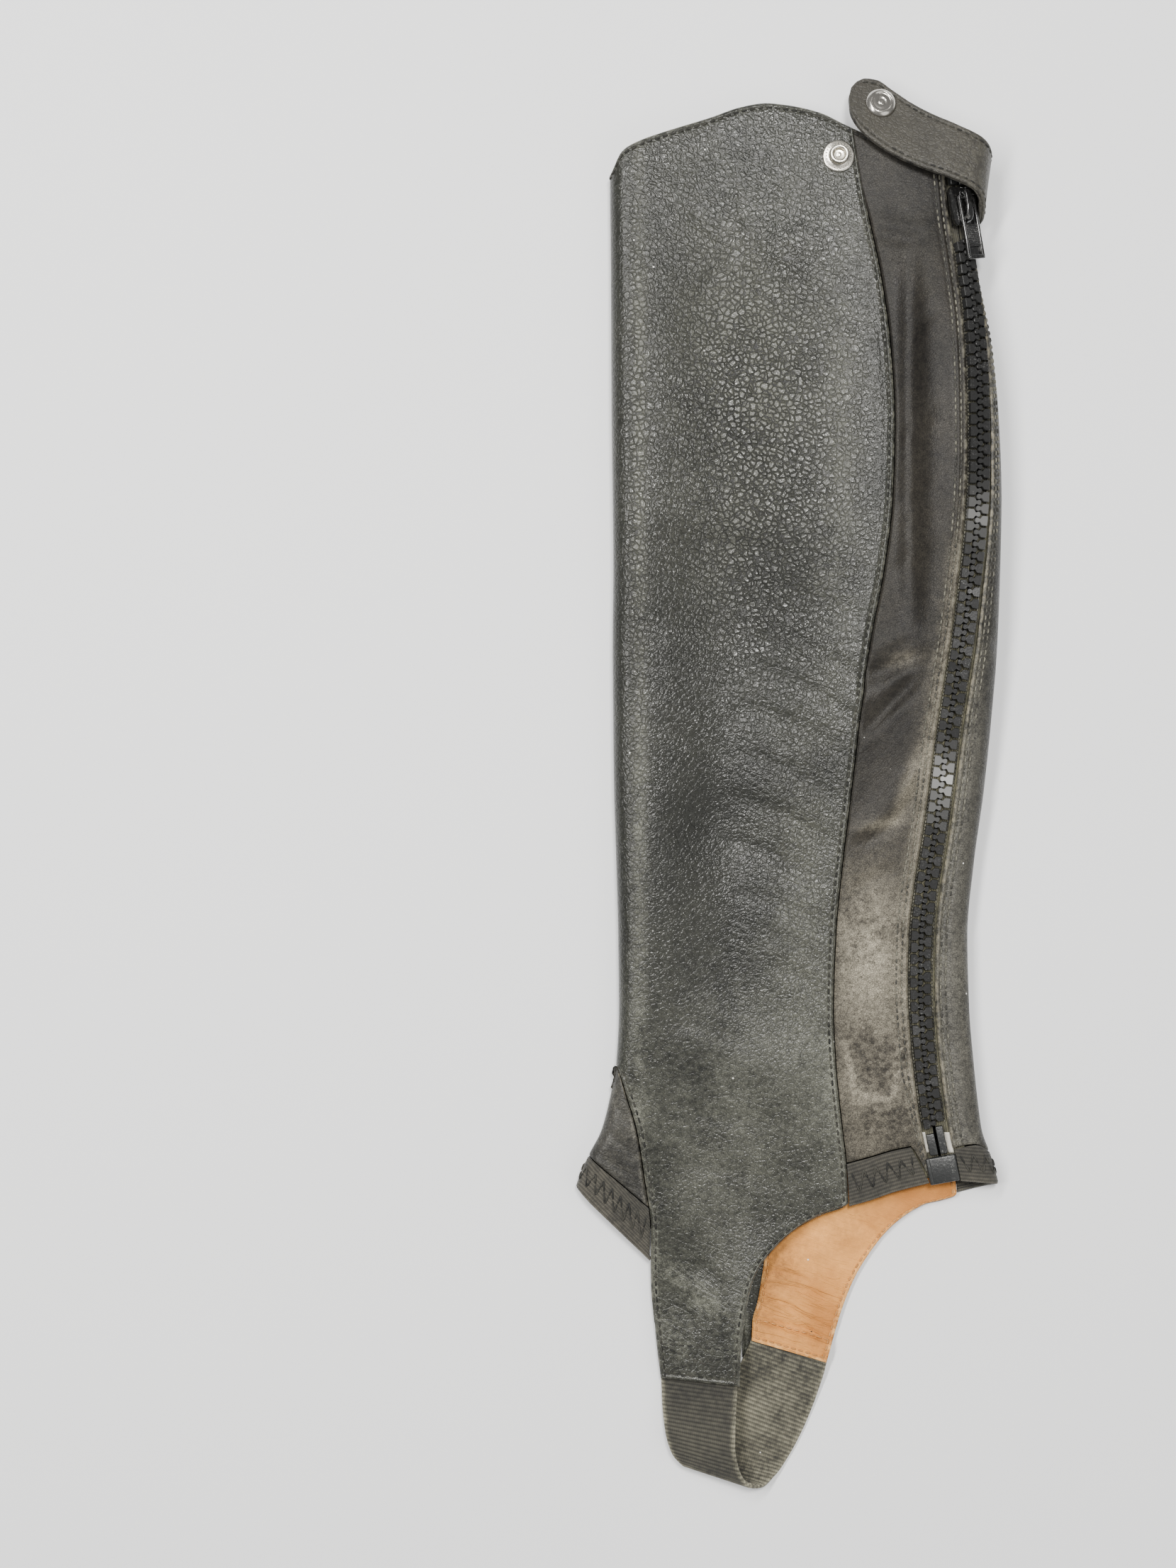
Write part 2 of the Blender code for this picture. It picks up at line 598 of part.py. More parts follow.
def build_main_panel(collection, finish):
    """One piece of leather round the shin, with a tongue at each side of the ankle."""
    top_of_gusset = GUSSET_FOLD[0].y
    heights = [top_of_gusset + (TOP_ROW - top_of_gusset) * share for share in shares(MAIN_ROWS)]
    surface = bmesh.new()
    upper_rows = [main_row(y) for y in heights]
    upper = vertex_rows(surface, upper_rows)
    weave_grid(surface, upper)
    fold = MAIN_INNER_COLUMNS + MAIN_ROLL_COLUMNS // 2

    front_rows = tongue_rows(
        outline(GUSSET_FRONT_SEAM + FRONT_TONGUE_SHIN),
        seam_run(main_seam_x, top_of_gusset, FRONT_TONGUE_HEEL[0].y),
        outline(FRONT_TONGUE_HEEL),
        upper_rows[0][fold:],
        front_height,
    )
    front = vertex_rows(surface, front_rows)
    weave_grid(surface, front[::-1] + [upper[0][fold:]])

    rear_rows = tongue_rows(
        outline(GUSSET_REAR_SEAM + REAR_TONGUE_SHIN),
        seam_run(rear_seam_x, top_of_gusset, REAR_TONGUE_HEEL[0].y),
        outline(REAR_TONGUE_HEEL),
        upper_rows[0][fold::-1],
        rear_height,
    )
    rear = vertex_rows(surface, [row[::-1] for row in rear_rows])
    weave_grid(surface, rear[::-1] + [upper[0][: fold + 1]])
    return wall_object("main_panel", surface, LEATHER, collection, finish)


def stretch_distance(y, share, near):
    """Distance of a point between the main seam and a line beside the middle of the zip."""
    left = ring(y).on_front(main_seam_x(y)) + SEAM_OPENING
    return left + (zip_distance(y) - near - left) * share


def build_stretch_panel(collection, finish):
    """The softer panel between the main seam and the zip."""
    binding_top = column(STRETCH_BINDING_TOP, "x", "y")

    def distance(y, share):
        return stretch_distance(y, share, CHAIN_WIDTH / 2.0 + LEFT_EDGE_GAP)

    rows = []
    for step in shares(STRETCH_ROWS):
        y = LOW_ROW + (TOP_ROW - LOW_ROW) * step
        row = []
        for share in shares(STRETCH_COLUMNS):
            x = skin(y, distance(y, share))[0]
            height = fan(y, TOP_FAN, TOP_ROW, outer_top_y(x))
            low = on_hem(binding_top, distance, share, LOW_ROW) + HEM_GAP
            height = fan(height, LOW_FAN, LOW_ROW, low)
            row.append(skin(height, distance(height, share)))
        rows.append(row)
    return sheet_object("stretch_panel", rows, LEATHER, collection, finish)


def back_distance(y, share, near):
    """Distance of a point of the back strip, from near the zip round to the rear seam."""
    start = zip_distance(y) + near
    end = ring(y).on_behind(rear_seam_x(y)) - SEAM_GAP
    return start + (end - start) * share


def build_back_panel(collection, finish):
    """The strip from the zip round the back fold to the rear seam."""
    near = CHAIN_WIDTH / 2.0 + RIGHT_EDGE_GAP
    binding_top = column(BACK_HEM, "share", "top")
    rows = []
    for step in shares(BACK_ROWS):
        y = LOW_ROW + (TOP_ROW - LOW_ROW) * step
        row = []
        for share in shares(BACK_COLUMNS):
            x = skin(y, back_distance(y, share, near))[0]
            hem = outer_top_y(x) if share < 0.5 else inner_top_y(x)
            height = fan(y, TOP_FAN, TOP_ROW, hem)
            height = fan(height, LOW_FAN, LOW_ROW, binding_top(share) + HEM_GAP)
            row.append(skin(height, back_distance(height, share, near)))
        rows.append(row)
    return sheet_object("back_panel", rows, LEATHER, collection, finish)


def build_hem_bindings(collection, finish):
    """The ribbed elastic on the hems of the stretch panel and of the back strip."""
    stretch_top = column(STRETCH_BINDING_TOP, "x", "y")
    stretch_low = column(STRETCH_BINDING_LOW, "x", "y")
    back_top_y = column(BACK_HEM, "share", "top")
    back_low_y = column(BACK_HEM, "share", "low")
    stretch_rows = []
    back_rows = []

    def distance(y, share):
        return stretch_distance(y, share, BOX_WIDTH / 2.0 + SEAM_GAP)

    for step in shares(BINDING_ROWS):
        row = []
        for share in shares(STRETCH_COLUMNS):
            low = on_hem(stretch_low, distance, share, 0.0)
            top = on_hem(stretch_top, distance, share, LOW_ROW)
            y = low + (top - low) * step
            row.append(skin(y, distance(y, share)))
        stretch_rows.append(row)
        row = []
        for share in shares(BACK_COLUMNS):
            y = back_low_y(share) + (back_top_y(share) - back_low_y(share)) * step
            row.append(skin(y, back_distance(y, share, BOX_WIDTH / 2.0 + SEAM_GAP)))
        back_rows.append(row)
    sheet_object("stretch_binding", stretch_rows, ELASTIC, collection, finish)
    sheet_object("back_binding", back_rows, ELASTIC, collection, finish)


def gusset_row(share, seam_gap):
    """A row across the gusset, from its rear seam round the fold to its front seam."""
    fold = outline(GUSSET_FOLD)(share)
    here = section(fold[1])
    row = [(here.shin_x, fold[1], here.shin_top / 2.0)]
    for seam, height_at in ((GUSSET_REAR_SEAM, rear_height), (GUSSET_FRONT_SEAM, front_height)):
        run = outline(seam)(share) - fold
        run *= 1.0 - seam_gap / np.linalg.norm(run)
        places = [fold + run * part ** GUSSET_BUNCHING for part in shares(GUSSET_COLUMNS)[1:]]
        side = [(x, y, height_at(x, y)) for x, y in places]
        row = side[::-1] + row if height_at is rear_height else row + side
    return row


def build_gusset(collection, leather, elastic):
    """The piece that wraps the shin fold over the instep, and the elastic round its hem."""
    panel = [gusset_row(GUSSET_FROM + (GUSSET_BINDING_FROM - GUSSET_FROM) * share, GUSSET_SEAM_GAP)
             for share in shares(GUSSET_ROWS)]
    binding_start = GUSSET_BINDING_FROM + GUSSET_BINDING_GAP
    binding = [gusset_row(binding_start + (1.0 - binding_start) * share, GUSSET_SEAM_GAP)
               for share in shares(BINDING_ROWS)]
    sheet_object("ankle_gusset", panel[::-1], LEATHER, collection, leather)
    sheet_object("gusset_binding", binding[::-1], ELASTIC, collection, elastic)


def zip_strip(name, heights, left, right, proud, thickness, collection, finish, columns=2):
    """A flat part of the zip: a band that follows the middle of the zip on the skin."""
    rows = []
    for y in heights:
        middle = zip_distance(y)
        rows.append([skin(y, middle + left + (right - left) * share, proud) for share in shares(columns)])
    return sheet_object(name, rows, thickness, collection, finish)


def build_zip(collection, tape, teeth):
    """The tapes, the closed chain, its stops and its separable end."""
    chain = [TEETH_BOTTOM + (TEETH_TOP - TEETH_BOTTOM) * share for share in shares(CHAIN_ROWS)]
    taped = [TAPE_BOTTOM] + chain + [400.0, TAPE_TOP]
    for name, left, right in (
        ("zip_tape_left", -TAPE_WIDTH, -TAPE_INNER), ("zip_tape_right", TAPE_INNER, TAPE_WIDTH),
    ):
        zip_strip(name, taped, left, right, -TAPE_DEPTH, TAPE, collection, tape)
    half = CHAIN_WIDTH / 2.0
    zip_strip("zip_chain", chain, -half, half, CHAIN_PROUD, CHAIN_THICKNESS, collection, teeth)
    box = BOX_WIDTH / 2.0
    zip_strip("zip_box", (-1.0, 4.5, TAPE_BOTTOM - 0.4), -box, box, 1.1, 2.9, collection, teeth)
    for name, low, high, side in ZIP_ENDS:
        middle = side * ZIP_END_OFFSET
        zip_strip(name, (low, high), middle - 1.6, middle + 1.6, CHAIN_PROUD, CHAIN_THICKNESS,
                  collection, teeth, columns=1)


def frame_matrix(origin, across, along, out):
    """A placing matrix in metres from three directions."""
    matrix = Matrix.Identity(4)
    for index, direction in enumerate((across, along, out)):
        matrix.col[index] = (*direction, 0.0)
    matrix.col[3] = (*(np.array(origin) * MM), 1.0)
    return matrix


def zip_frame(y):
    """The frame of the zip at height y: across it, along it, and out of the skin."""
    origin = skin(y, zip_distance(y))
    along = skin(y + 5.0, zip_distance(y + 5.0)) - skin(y - 5.0, zip_distance(y - 5.0))
    along /= np.linalg.norm(along)
    out = skin_normal(y, zip_distance(y))
    across = np.cross(along, out)
    across /= np.linalg.norm(across)
    return origin, across, along, np.cross(across, along)


def block(name, size, middle, matrix, collection, finish, bevel=0.0):
    """A box of a size about a middle point in a local frame, with rounded edges."""
    mesh = bpy.data.meshes.new(name)
    surface = bmesh.new()
    bmesh.ops.create_cube(surface, size=1.0)
    for vertex in surface.verts:
        vertex.co = Vector(vertex.co[i] * size[i] + middle[i] for i in range(3)) * MM
    surface.to_mesh(mesh)
    surface.free()
    made = place_object(name, mesh, collection, finish)
    made.matrix_world = matrix
    if bevel:
        edges = made.modifiers.new("Edges", "BEVEL")
        edges.width = bevel * MM
        edges.segments = 2
    return made


def plate(name, outer, holes, thickness, matrix, collection, finish):
    """A flat plate from outlines in its own frame, as a mesh with welded caps."""
    flat = bpy.data.curves.new(name, "CURVE")
    flat.dimensions = "2D"
    flat.fill_mode = "BOTH"
    flat.extrude = thickness * MM / 2.0
    for points in (outer, *holes):
        spline = flat.splines.new("POLY")
        spline.points.add(len(points) - 1)
        spline.use_cyclic_u = True
        for point, (x, y) in zip(spline.points, points):
            point.co = (x * MM, y * MM, 0.0, 1.0)
    guide = bpy.data.objects.new(name, flat)
    collection.objects.link(guide)
    bpy.context.view_layer.update()
    mesh = bpy.data.meshes.new_from_object(guide.evaluated_get(bpy.context.evaluated_depsgraph_get()))
    bpy.data.objects.remove(guide)
    surface = bmesh.new()
    surface.from_mesh(mesh)
    bmesh.ops.remove_doubles(surface, verts=surface.verts, dist=0.00001)
    bmesh.ops.recalc_face_normals(surface, faces=surface.faces)
    surface.to_mesh(mesh)
    surface.free()
    mesh.name = name
    made = place_object(name, mesh, collection, finish)
    made.matrix_world = matrix
    return made


def rounded_box(left, right, low, high, radius, steps=3):
    """The corners of a rectangle with round corners, in order."""
    points = []
    corners = ((right, high, 0), (left, high, 1), (left, low, 2), (right, low, 3))
    for x, y, turn in corners:
        centre_x = x - radius if turn in (0, 3) else x + radius
        centre_y = y - radius if turn in (0, 1) else y + radius
        for share in shares(steps):
            angle = math.pi / 2.0 * (turn + share)
            points.append((centre_x + radius * math.cos(angle), centre_y + radius * math.sin(angle)))
    return points


def turned(name, profile, matrix, collection, finish, steps=20):
    """A round piece from a profile of radius and height, run down its outer side."""
    mesh = bpy.data.meshes.new(name)
    points = [(radius * MM, 0.0, height * MM) for radius, height in profile]
    mesh.from_pydata(points, [(i, i + 1) for i in range(len(points) - 1)], [])
    made = place_object(name, mesh, collection, finish)
    made.matrix_world = matrix
    spin = made.modifiers.new("Turn", "SCREW")
    spin.steps = steps
    spin.render_steps = steps
    spin.use_merge_vertices = True
    spin.merge_threshold = 0.00001
    spin.use_smooth_shade = True
    return made


def build_slider(collection, cutters, finish):
    """The slider's body with its bridge, and the pull tab on an axis under the bridge."""
    origin, across, along, out = zip_frame(SLIDER_AT)
    matrix = frame_matrix(origin, across, along, out)
    slider = block(
        "zip_slider", (SLIDER_WIDTH, SLIDER_LENGTH, SLIDER_TOP - SLIDER_LOW),
        (0.0, 0.0, (SLIDER_TOP + SLIDER_LOW) / 2.0), matrix, collection, finish, 0.6,
    )
    core_low = CHAIN_PROUD - CHAIN_THICKNESS
    core = block(
        "slider_core", (CHAIN_WIDTH, SLIDER_LENGTH - 0.6, SLIDER_LOW + 0.5 - core_low),
        (0.0, 0.0, (SLIDER_LOW + 0.5 + core_low) / 2.0), matrix, cutters, finish,
    )
    bridge_matrix = frame_matrix(origin, along, out, across)
    bridge = plate("slider_bridge", BRIDGE_OUTLINE, (), BRIDGE_WIDTH, bridge_matrix, cutters, finish)
    for tool in (core, bridge):
        tool.hide_render = True
        tool.display_type = "WIRE"
        join = slider.modifiers.new("Join", "BOOLEAN")
        join.operation = "UNION"
        join.object = tool

    swing = math.radians(PULL_SKEW)
    axis = across * math.cos(swing) + along * math.sin(swing)
    up_tab = along * math.cos(swing) - across * math.sin(swing)
    pivot = origin + along * PULL_PIVOT + out * PULL_HEIGHT
    outer = rounded_box(-PULL_WIDTH / 2.0, PULL_WIDTH / 2.0, -PULL_LENGTH, PULL_BAR / 2.0, 0.8)
    eye = rounded_box(-PULL_EYE / 2.0, PULL_EYE / 2.0, -PULL_EYE_LOW, -PULL_BAR / 2.0, 0.8)
    slot = rounded_box(-PULL_SLOT / 2.0, PULL_SLOT / 2.0, -PULL_LENGTH + 1.4, -PULL_SLOT_TOP, 0.5)
    plate("zip_pull", outer, (eye, slot), PULL_THICKNESS,
          frame_matrix(pivot, axis, up_tab, out), collection, finish)
    return pivot, axis


def ribbon(rungs, stations, columns):
    """Rows of points along a band whose rungs give both of its edges."""
    points = np.array([tuple(rung) for rung in rungs])
    middles = (points[:, :3] + points[:, 3:]) / 2.0
    steps = np.linalg.norm(np.diff(middles, axis=0), axis=1)
    places = np.concatenate([[0.0], np.cumsum(steps)])
    edges = [through(places / places[-1], points[:, i]) for i in range(6)]

    def at(share, across):
        near = np.array([edges[i](share) for i in range(3)])
        far = np.array([edges[i](share) for i in range(3, 6)])
        return near + (far - near) * across

    return [[at(share, across) for across in shares(columns)] for share in stations], at


def nearest_on(at, spot):
    """The share along and across a band whose point lies nearest a spot in plan."""
    tries = [(share, across) for share in shares(200) for across in shares(40)]
    return min(tries, key=lambda place: math.hypot(*(at(*place)[:2] - np.array([spot.x, spot.y]))))


def build_strap(collection, leather, cap_metal, metal):
    """The closing strap with the snap's cap above it and the snap's socket below it."""
    stations = [share for share in shares(STRAP_STATIONS)]
    rows, at = ribbon(STRAP_RUNGS, stations, STRAP_COLUMNS)
    sheet_object("closing_strap", [row[::-1] for row in rows], STRAP, collection, leather, inward=False)
    share, across = nearest_on(at, STRAP_SNAP)
    centre = at(share, across)
    along = at(share + 0.01, across) - at(share - 0.01, across)
    over = at(share, across + 0.05) - at(share, across - 0.05)
    out = np.cross(over, along)
    out /= np.linalg.norm(out)
    along /= np.linalg.norm(along)
    matrix = frame_matrix(centre, np.cross(along, out), along, out)
    above = STRAP / 2.0 + SNAP_SEAT
    cap = [(radius, above + height) for radius, height in CAP_PROFILE]
    socket = [(radius, height - above) for radius, height in SOCKET_PROFILE]
    turned("snap_cap", cap, matrix, collection, cap_metal, 24)
    turned("snap_socket", socket, matrix, collection, metal, 20)


def build_stud(collection, finish):
    """The snap's stud, proud of the main panel near its top."""
    y = STUD.y
    distance = ring(y).on_front(STUD.x)
    out = skin_normal(y, distance)
    across = np.cross(np.array([0.0, 1.0, 0.0]), out)
    across /= np.linalg.norm(across)
    matrix = frame_matrix(skin(y, distance), across, np.cross(out, across), out)
    profile = [(radius, height + STUD_SEAT) for radius, height in STUD_PROFILE]
    turned("snap_stud", profile, matrix, collection, finish, 24)


def build_lining(collection, finish):
    """The tan lining on the rear tongue, raised at its end over the stirrup elastic."""
    shin_edge = outline(LINING_SHIN)
    heel_edge = outline(LINING_HEEL)
    end_a = np.array(LINING_SHIN[-1])
    end_b = np.array(LINING_HEEL[-1])
    end_run = (end_b - end_a) / np.linalg.norm(end_b - end_a)
    flat = LEATHER + SEAM_GAP + LINING
    rows = []
    for share in LINING_SHARES:
        near = shin_edge(share)
        far = heel_edge(share)
        row = []
        for part in shares(LINING_COLUMNS):
            x, y = near + (far - near) * part
            inset = end_run[0] * (y - end_a[1]) - end_run[1] * (x - end_a[0])
            row.append((x, y, flat + LINING_RISE * smooth_step((LINING_STEP - inset) / 4.5)))
        rows.append(row)
    sheet_object("tongue_lining", rows[::-1], LINING, collection, finish)


def build_loop(collection, finish):
    """The ribbed elastic loop from the front tongue to the rear tongue."""
    rows, _ = ribbon(LOOP_RUNGS, shares(LOOP_STATIONS), LOOP_COLUMNS)
    sheet_object("stirrup_loop", rows, LOOP_ELASTIC, collection, finish, inward=False)


def centre_on_floor(collection):
    """Moves everything so that the garment's box stands centred on the origin."""
    depsgraph = bpy.context.evaluated_depsgraph_get()
    corners = []
    for piece in collection.objects:
        solid = piece.evaluated_get(depsgraph)
        mesh = solid.to_mesh()
        corners += [solid.matrix_world @ vertex.co for vertex in mesh.vertices]
        solid.to_mesh_clear()
    places = np.array([tuple(corner) for corner in corners])
    low = places.min(axis=0)
    high = places.max(axis=0)
    shift = Vector((-(low[0] + high[0]) / 2.0, -(low[1] + high[1]) / 2.0, -low[2]))
    for piece in bpy.data.objects:
        piece.matrix_world = Matrix.Translation(shift) @ piece.matrix_world
    return shift


def main():
    """Builds every piece, then centres the half chap on its box."""
    for piece in list(bpy.data.objects):
        bpy.data.objects.remove(piece)
    collection = bpy.data.collections.new("half_chap")
    cutters = bpy.data.collections.new("cutters")
    bpy.context.scene.collection.children.link(collection)
    bpy.context.scene.collection.children.link(cutters)

    build_main_panel(collection, material("pebbled_leather", (0.055, 0.056, 0.05), 0.5))
    build_stretch_panel(collection, material("stretch_leather", (0.06, 0.055, 0.047), 0.45))
    build_back_panel(collection, material("back_leather", (0.045, 0.045, 0.04), 0.5))
    binding = material("ribbed_elastic", (0.02, 0.02, 0.02), 0.85)
    build_gusset(collection, material("gusset_leather", (0.05, 0.05, 0.043), 0.5), binding)
    build_hem_bindings(collection, binding)
    tape = material("zip_tape", (0.02, 0.022, 0.018), 0.9)
    plastic = material("moulded_plastic", (0.02, 0.02, 0.02), 0.35)
    build_zip(collection, tape, plastic)
    pivot, axis = build_slider(collection, cutters, material("slider_enamel", (0.01, 0.01, 0.01), 0.25))
    nickel = material("nickel", (0.65, 0.6, 0.52), 0.3, 1.0)
    dark_nickel = material("dark_nickel", (0.3, 0.29, 0.27), 0.3, 1.0)
    build_strap(collection, material("strap_leather", (0.05, 0.047, 0.042), 0.45), dark_nickel, nickel)
    build_stud(collection, nickel)
    build_lining(collection, material("tan_lining", (0.55, 0.3, 0.15), 0.7))
    build_loop(collection, material("loop_elastic", (0.05, 0.048, 0.04), 0.85))
    shift = centre_on_floor(collection)
    bpy.context.view_layer.update()
    print("shift in mm", [round(value / MM, 3) for value in shift])
    print("pull pivot in mm", [round(float(p + s / MM), 3) for p, s in zip(pivot, shift)])
    print("pull axis", [round(float(value), 4) for value in axis])


main()
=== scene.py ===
"""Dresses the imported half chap: fine leather shells, sewing, a toothed zip and metal snaps.

The garment is the same flattened tube as its solids. Sections along the leg give its outer skin,
and each piece is woven from that skin at a finer pitch, with creases, turned edges and stitch
furrows. Sizes are in millimetres in the garment's own frame, where x = 0 is about the shin fold,
y = 0 is the ankle hem and z = 0 is the floor. SHIFT and MM turn them into the model's metres.
"""

import logging
import math
from dataclasses import dataclass
from enum import Enum
from typing import Callable, NamedTuple, Sequence

import bmesh
import bpy
import numpy as np
from mathutils import Matrix, Vector


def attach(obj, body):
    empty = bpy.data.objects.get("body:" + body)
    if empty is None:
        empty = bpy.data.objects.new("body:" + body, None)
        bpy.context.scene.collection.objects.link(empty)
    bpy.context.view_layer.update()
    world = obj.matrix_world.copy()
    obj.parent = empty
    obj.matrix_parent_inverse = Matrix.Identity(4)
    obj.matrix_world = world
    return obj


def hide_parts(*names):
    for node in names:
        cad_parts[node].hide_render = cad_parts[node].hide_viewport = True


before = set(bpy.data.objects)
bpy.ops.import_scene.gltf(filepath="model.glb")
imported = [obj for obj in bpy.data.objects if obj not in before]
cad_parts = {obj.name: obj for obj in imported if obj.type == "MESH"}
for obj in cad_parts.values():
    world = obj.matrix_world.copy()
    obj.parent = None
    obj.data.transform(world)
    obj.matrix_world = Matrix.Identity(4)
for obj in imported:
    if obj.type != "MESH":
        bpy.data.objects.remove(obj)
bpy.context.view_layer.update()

log = logging.getLogger("half_chap")
Array = np.ndarray
Colour = tuple[float, float, float]
Material = bpy.types.Material
Piece = bpy.types.Object
Socket = bpy.types.NodeSocket
Fed = Socket | float | Sequence[float]

MM = 0.001
SHIFT = np.array([-71.56, -161.498, 0.0])
GARMENT = "garment"
PULL_TAB = "pull_tab"
LEATHER = 1.4
STRAP = 2.6
TAPE_DEPTH = 2.1
CHAIN_WIDTH = 8.4
CHAIN_PROUD = 0.8
CHAIN_THICKNESS = 2.5
LEFT_EDGE_GAP = 1.0
RIGHT_EDGE_GAP = 1.7
BOX_WIDTH = 12.4
TOP_FAN = 378.0
TOP_ROW = 420.0
LOW_FAN = 44.0
LOW_ROW = 15.0


def table(kind: Callable, *rows: tuple) -> tuple:
    """Rows of numbers as rows with names."""
    return tuple(kind(*row) for row in rows)


class Section(NamedTuple):
    """The flattened tube at height y: its folds, how far their rolls reach, and its heights."""

    y: float
    shin_x: float
    shin_roll: float
    shin_top: float
    back_x: float
    back_roll: float
    back_top: float
    middle: float


SECTIONS = table(
    Section, (-40, -15.3, 6, 9.5, 159, 8, 12, 9.5), (-4, -15.3, 6, 9.5, 158.6, 8, 12, 9.5),
    (0, -14.2, 6, 10, 157.8, 8, 12, 9.5), (10, -9.9, 6.3, 10.8, 154.9, 8, 12, 9.6),
    (20, -4.8, 6.6, 11.5, 151.4, 8, 12, 9.8), (32, -1.6, 7, 12.2, 149.7, 8, 12, 10),
    (47, 1.2, 7.2, 13, 148.1, 8, 12, 10), (70, 2.3, 7.5, 14, 146.2, 8, 12, 10),
    (100, 2, 7.6, 14.5, 145.4, 8.2, 12.5, 10), (130, 1.2, 8, 15, 148, 9, 13.5, 10),
    (160, 0.3, 8, 15, 152, 10.5, 15.5, 10), (190, -0.1, 8, 15, 154.9, 12, 18, 10.2),
    (220, -0.3, 8, 15, 157.1, 13, 20.5, 10.5), (250, 0, 8, 15.5, 158.1, 14, 22, 10.8),
    (280, -0.3, 8, 15.5, 158.6, 14, 23, 11), (310, -0.7, 8, 15.5, 157.5, 14, 23, 11.2),
    (340, -0.9, 8, 15, 154.6, 14, 22, 11.5), (370, -1, 7.6, 14.5, 149.1, 13, 18.5, 11.6),
    (400, -1.3, 7.2, 14, 145.6, 12, 15, 11.6), (445, -1.6, 7, 13.5, 145, 11.5, 14.5, 11.6),
)
SHIN_FALL = 42.0
BACK_FALL = 40.0
ROLL_CLEAR = 10.0
REAR_SEAM_INSET = 17.0
STRAP_LIFT = 3.0
STRAP_LIFT_X = 94.0
STRAP_LIFT_Y = 366.0
STRAP_LIFT_RUN = 12.0
# Below the ankle the front's height goes over to the tongues' slope, which rises from the shin.
TONGUE_LOW = 5.0
TONGUE_RISE = 8.0
TONGUE_START_X = 17.0
TONGUE_RUN = 38.0
TONGUE_TOP = -12.0
TONGUE_BLEND = 44.0


class Spot(NamedTuple):
    """A point in plan."""

    x: float
    y: float


MAIN_SEAM = table(
    Spot, (96.5, -12), (95.5, 5), (93.2, 25), (91.2, 45), (90, 70), (91, 100), (93.8, 130), (97.5, 160),
    (101, 190), (105, 220), (110.5, 250), (114, 280), (114.8, 310), (113, 340), (109, 370), (103, 400),
    (98.8, 425), (96.5, 445),
)
ZIP_LINE = table(
    Spot, (137, -8), (135.5, 0), (133.5, 10), (131.4, 20), (128.5, 40), (126.5, 60), (125.5, 80),
    (125.9, 100), (127.9, 120), (131, 140), (133.6, 160), (135.9, 180), (138.7, 200), (141.7, 220),
    (144.1, 240), (146.3, 260), (147.8, 280), (148.3, 300), (148, 325), (146.8, 350), (144.6, 370),
    (141.5, 395), (139, 425),
)
OUTER_TOP = table(
    Spot, (-6, 410.5), (-1.5, 412), (3, 420), (10, 424.3), (20, 428), (40, 434.3), (54, 438.9), (64, 440.4),
    (74, 439.4), (86, 436.6), (97, 431.2), (110, 425), (125, 421), (138, 418), (146, 416), (160, 415),
)
INNER_TOP = table(
    Spot, (-6, 410.5), (-1.5, 412), (10, 418), (30, 424), (60, 428), (90, 424), (120, 417.5), (138, 415.5),
    (146, 416), (160, 415),
)
STRETCH_HEM_TOP = table(Spot, (94, 6), (105, 9), (115, 12), (130, 15))
STRETCH_HEM_LOW = table(Spot, (94, -11.6), (105, -8.5), (115, -5), (130, -1))


class BackHem(NamedTuple):
    """The elastic's edges on the back strip, at a share of the way from the zip to the rear seam."""

    share: float
    top: float
    low: float


BACK_HEM = table(BackHem, (0, 13, -0.2), (0.25, 14.5, -1), (0.5, 11, -2), (0.75, 10, -4), (1, 9, -6.4))
GUSSET_FOLD = table(Spot, (1.2, 47), (-1.6, 32), (-4.8, 20), (-9.9, 10), (-15.3, -4))
GUSSET_FRONT_SEAM = table(Spot, (1.2, 47), (5, 36), (9.8, 20), (13, 0), (15.5, -20), (15.4, -34))
GUSSET_REAR_SEAM = table(Spot, (1.2, 47), (7, 36), (14, 20), (22, 0), (30, -20), (34, -32))
FRONT_TONGUE_SHIN = table(Spot, (15.6, -45), (17, -60), (18.2, -72), (19.5, -82))
FRONT_TONGUE_HEEL = table(
    Spot, (96.5, -10.3), (87, -13.2), (77, -18.5), (67.5, -26.2), (60.5, -34.5), (56.5, -43), (54, -54),
    (52.2, -68), (51.5, -84.2),
)
REAR_TONGUE_SHIN = table(Spot, (42, -40), (49, -47.5), (52.6, -57), (53.2, -74))
REAR_TONGUE_HEEL = table(
    Spot, (141.9, -6.3), (128, -10.9), (117, -18), (107.5, -28.5), (99.5, -41.5), (94.5, -54), (91, -66),
    (88, -77),
)
LINING_SHIN = table(Spot, (65.4, 3), (65, -10), (62, -36), (59.5, -51), (57.2, -60), (57, -66.8))
LINING_HEEL = table(
    Spot, (140.6, 3), (141.5, -6.4), (127.7, -11.2), (116.7, -18.3), (107.2, -28.8), (99.2, -41.8),
    (94.2, -54.3), (90.6, -66), (87.6, -75.8),
)
SEAM_SHARE = 6.0 / 17.0


class Crease(NamedTuple):
    """A soft trough, or a ridge where height is above 0, bowed sideways by bend."""

    x0: float
    y0: float
    x1: float
    y1: float
    bend: float
    height: float
    width: float


# The largest folds, which the solids have too. Their width is where the fold has all but faded.
FOLDS = table(
    Crease, (121, 372, 121.5, 232, 0, -3.2, 6.5), (104, 206, 127, 215, 0, -1.6, 5),
    (104, 184, 124, 206, 0, -1.4, 4.5), (100, 194, 122, 214, 0, 1, 5), (100, 142, 122, 166, 0, 1.4, 5),
    (20, 255, 96, 235, 0, -1.2, 26), (28, 350, 92, 372, 0, -1.2, 24), (30, 150, 84, 128, 0, -1.3, 24),
    (30, 62, 80, 40, 0, 1.2, 20), (24, -52, 46, -40, 0, 1.2, 6),
)
FOLD_FADE = 0.2

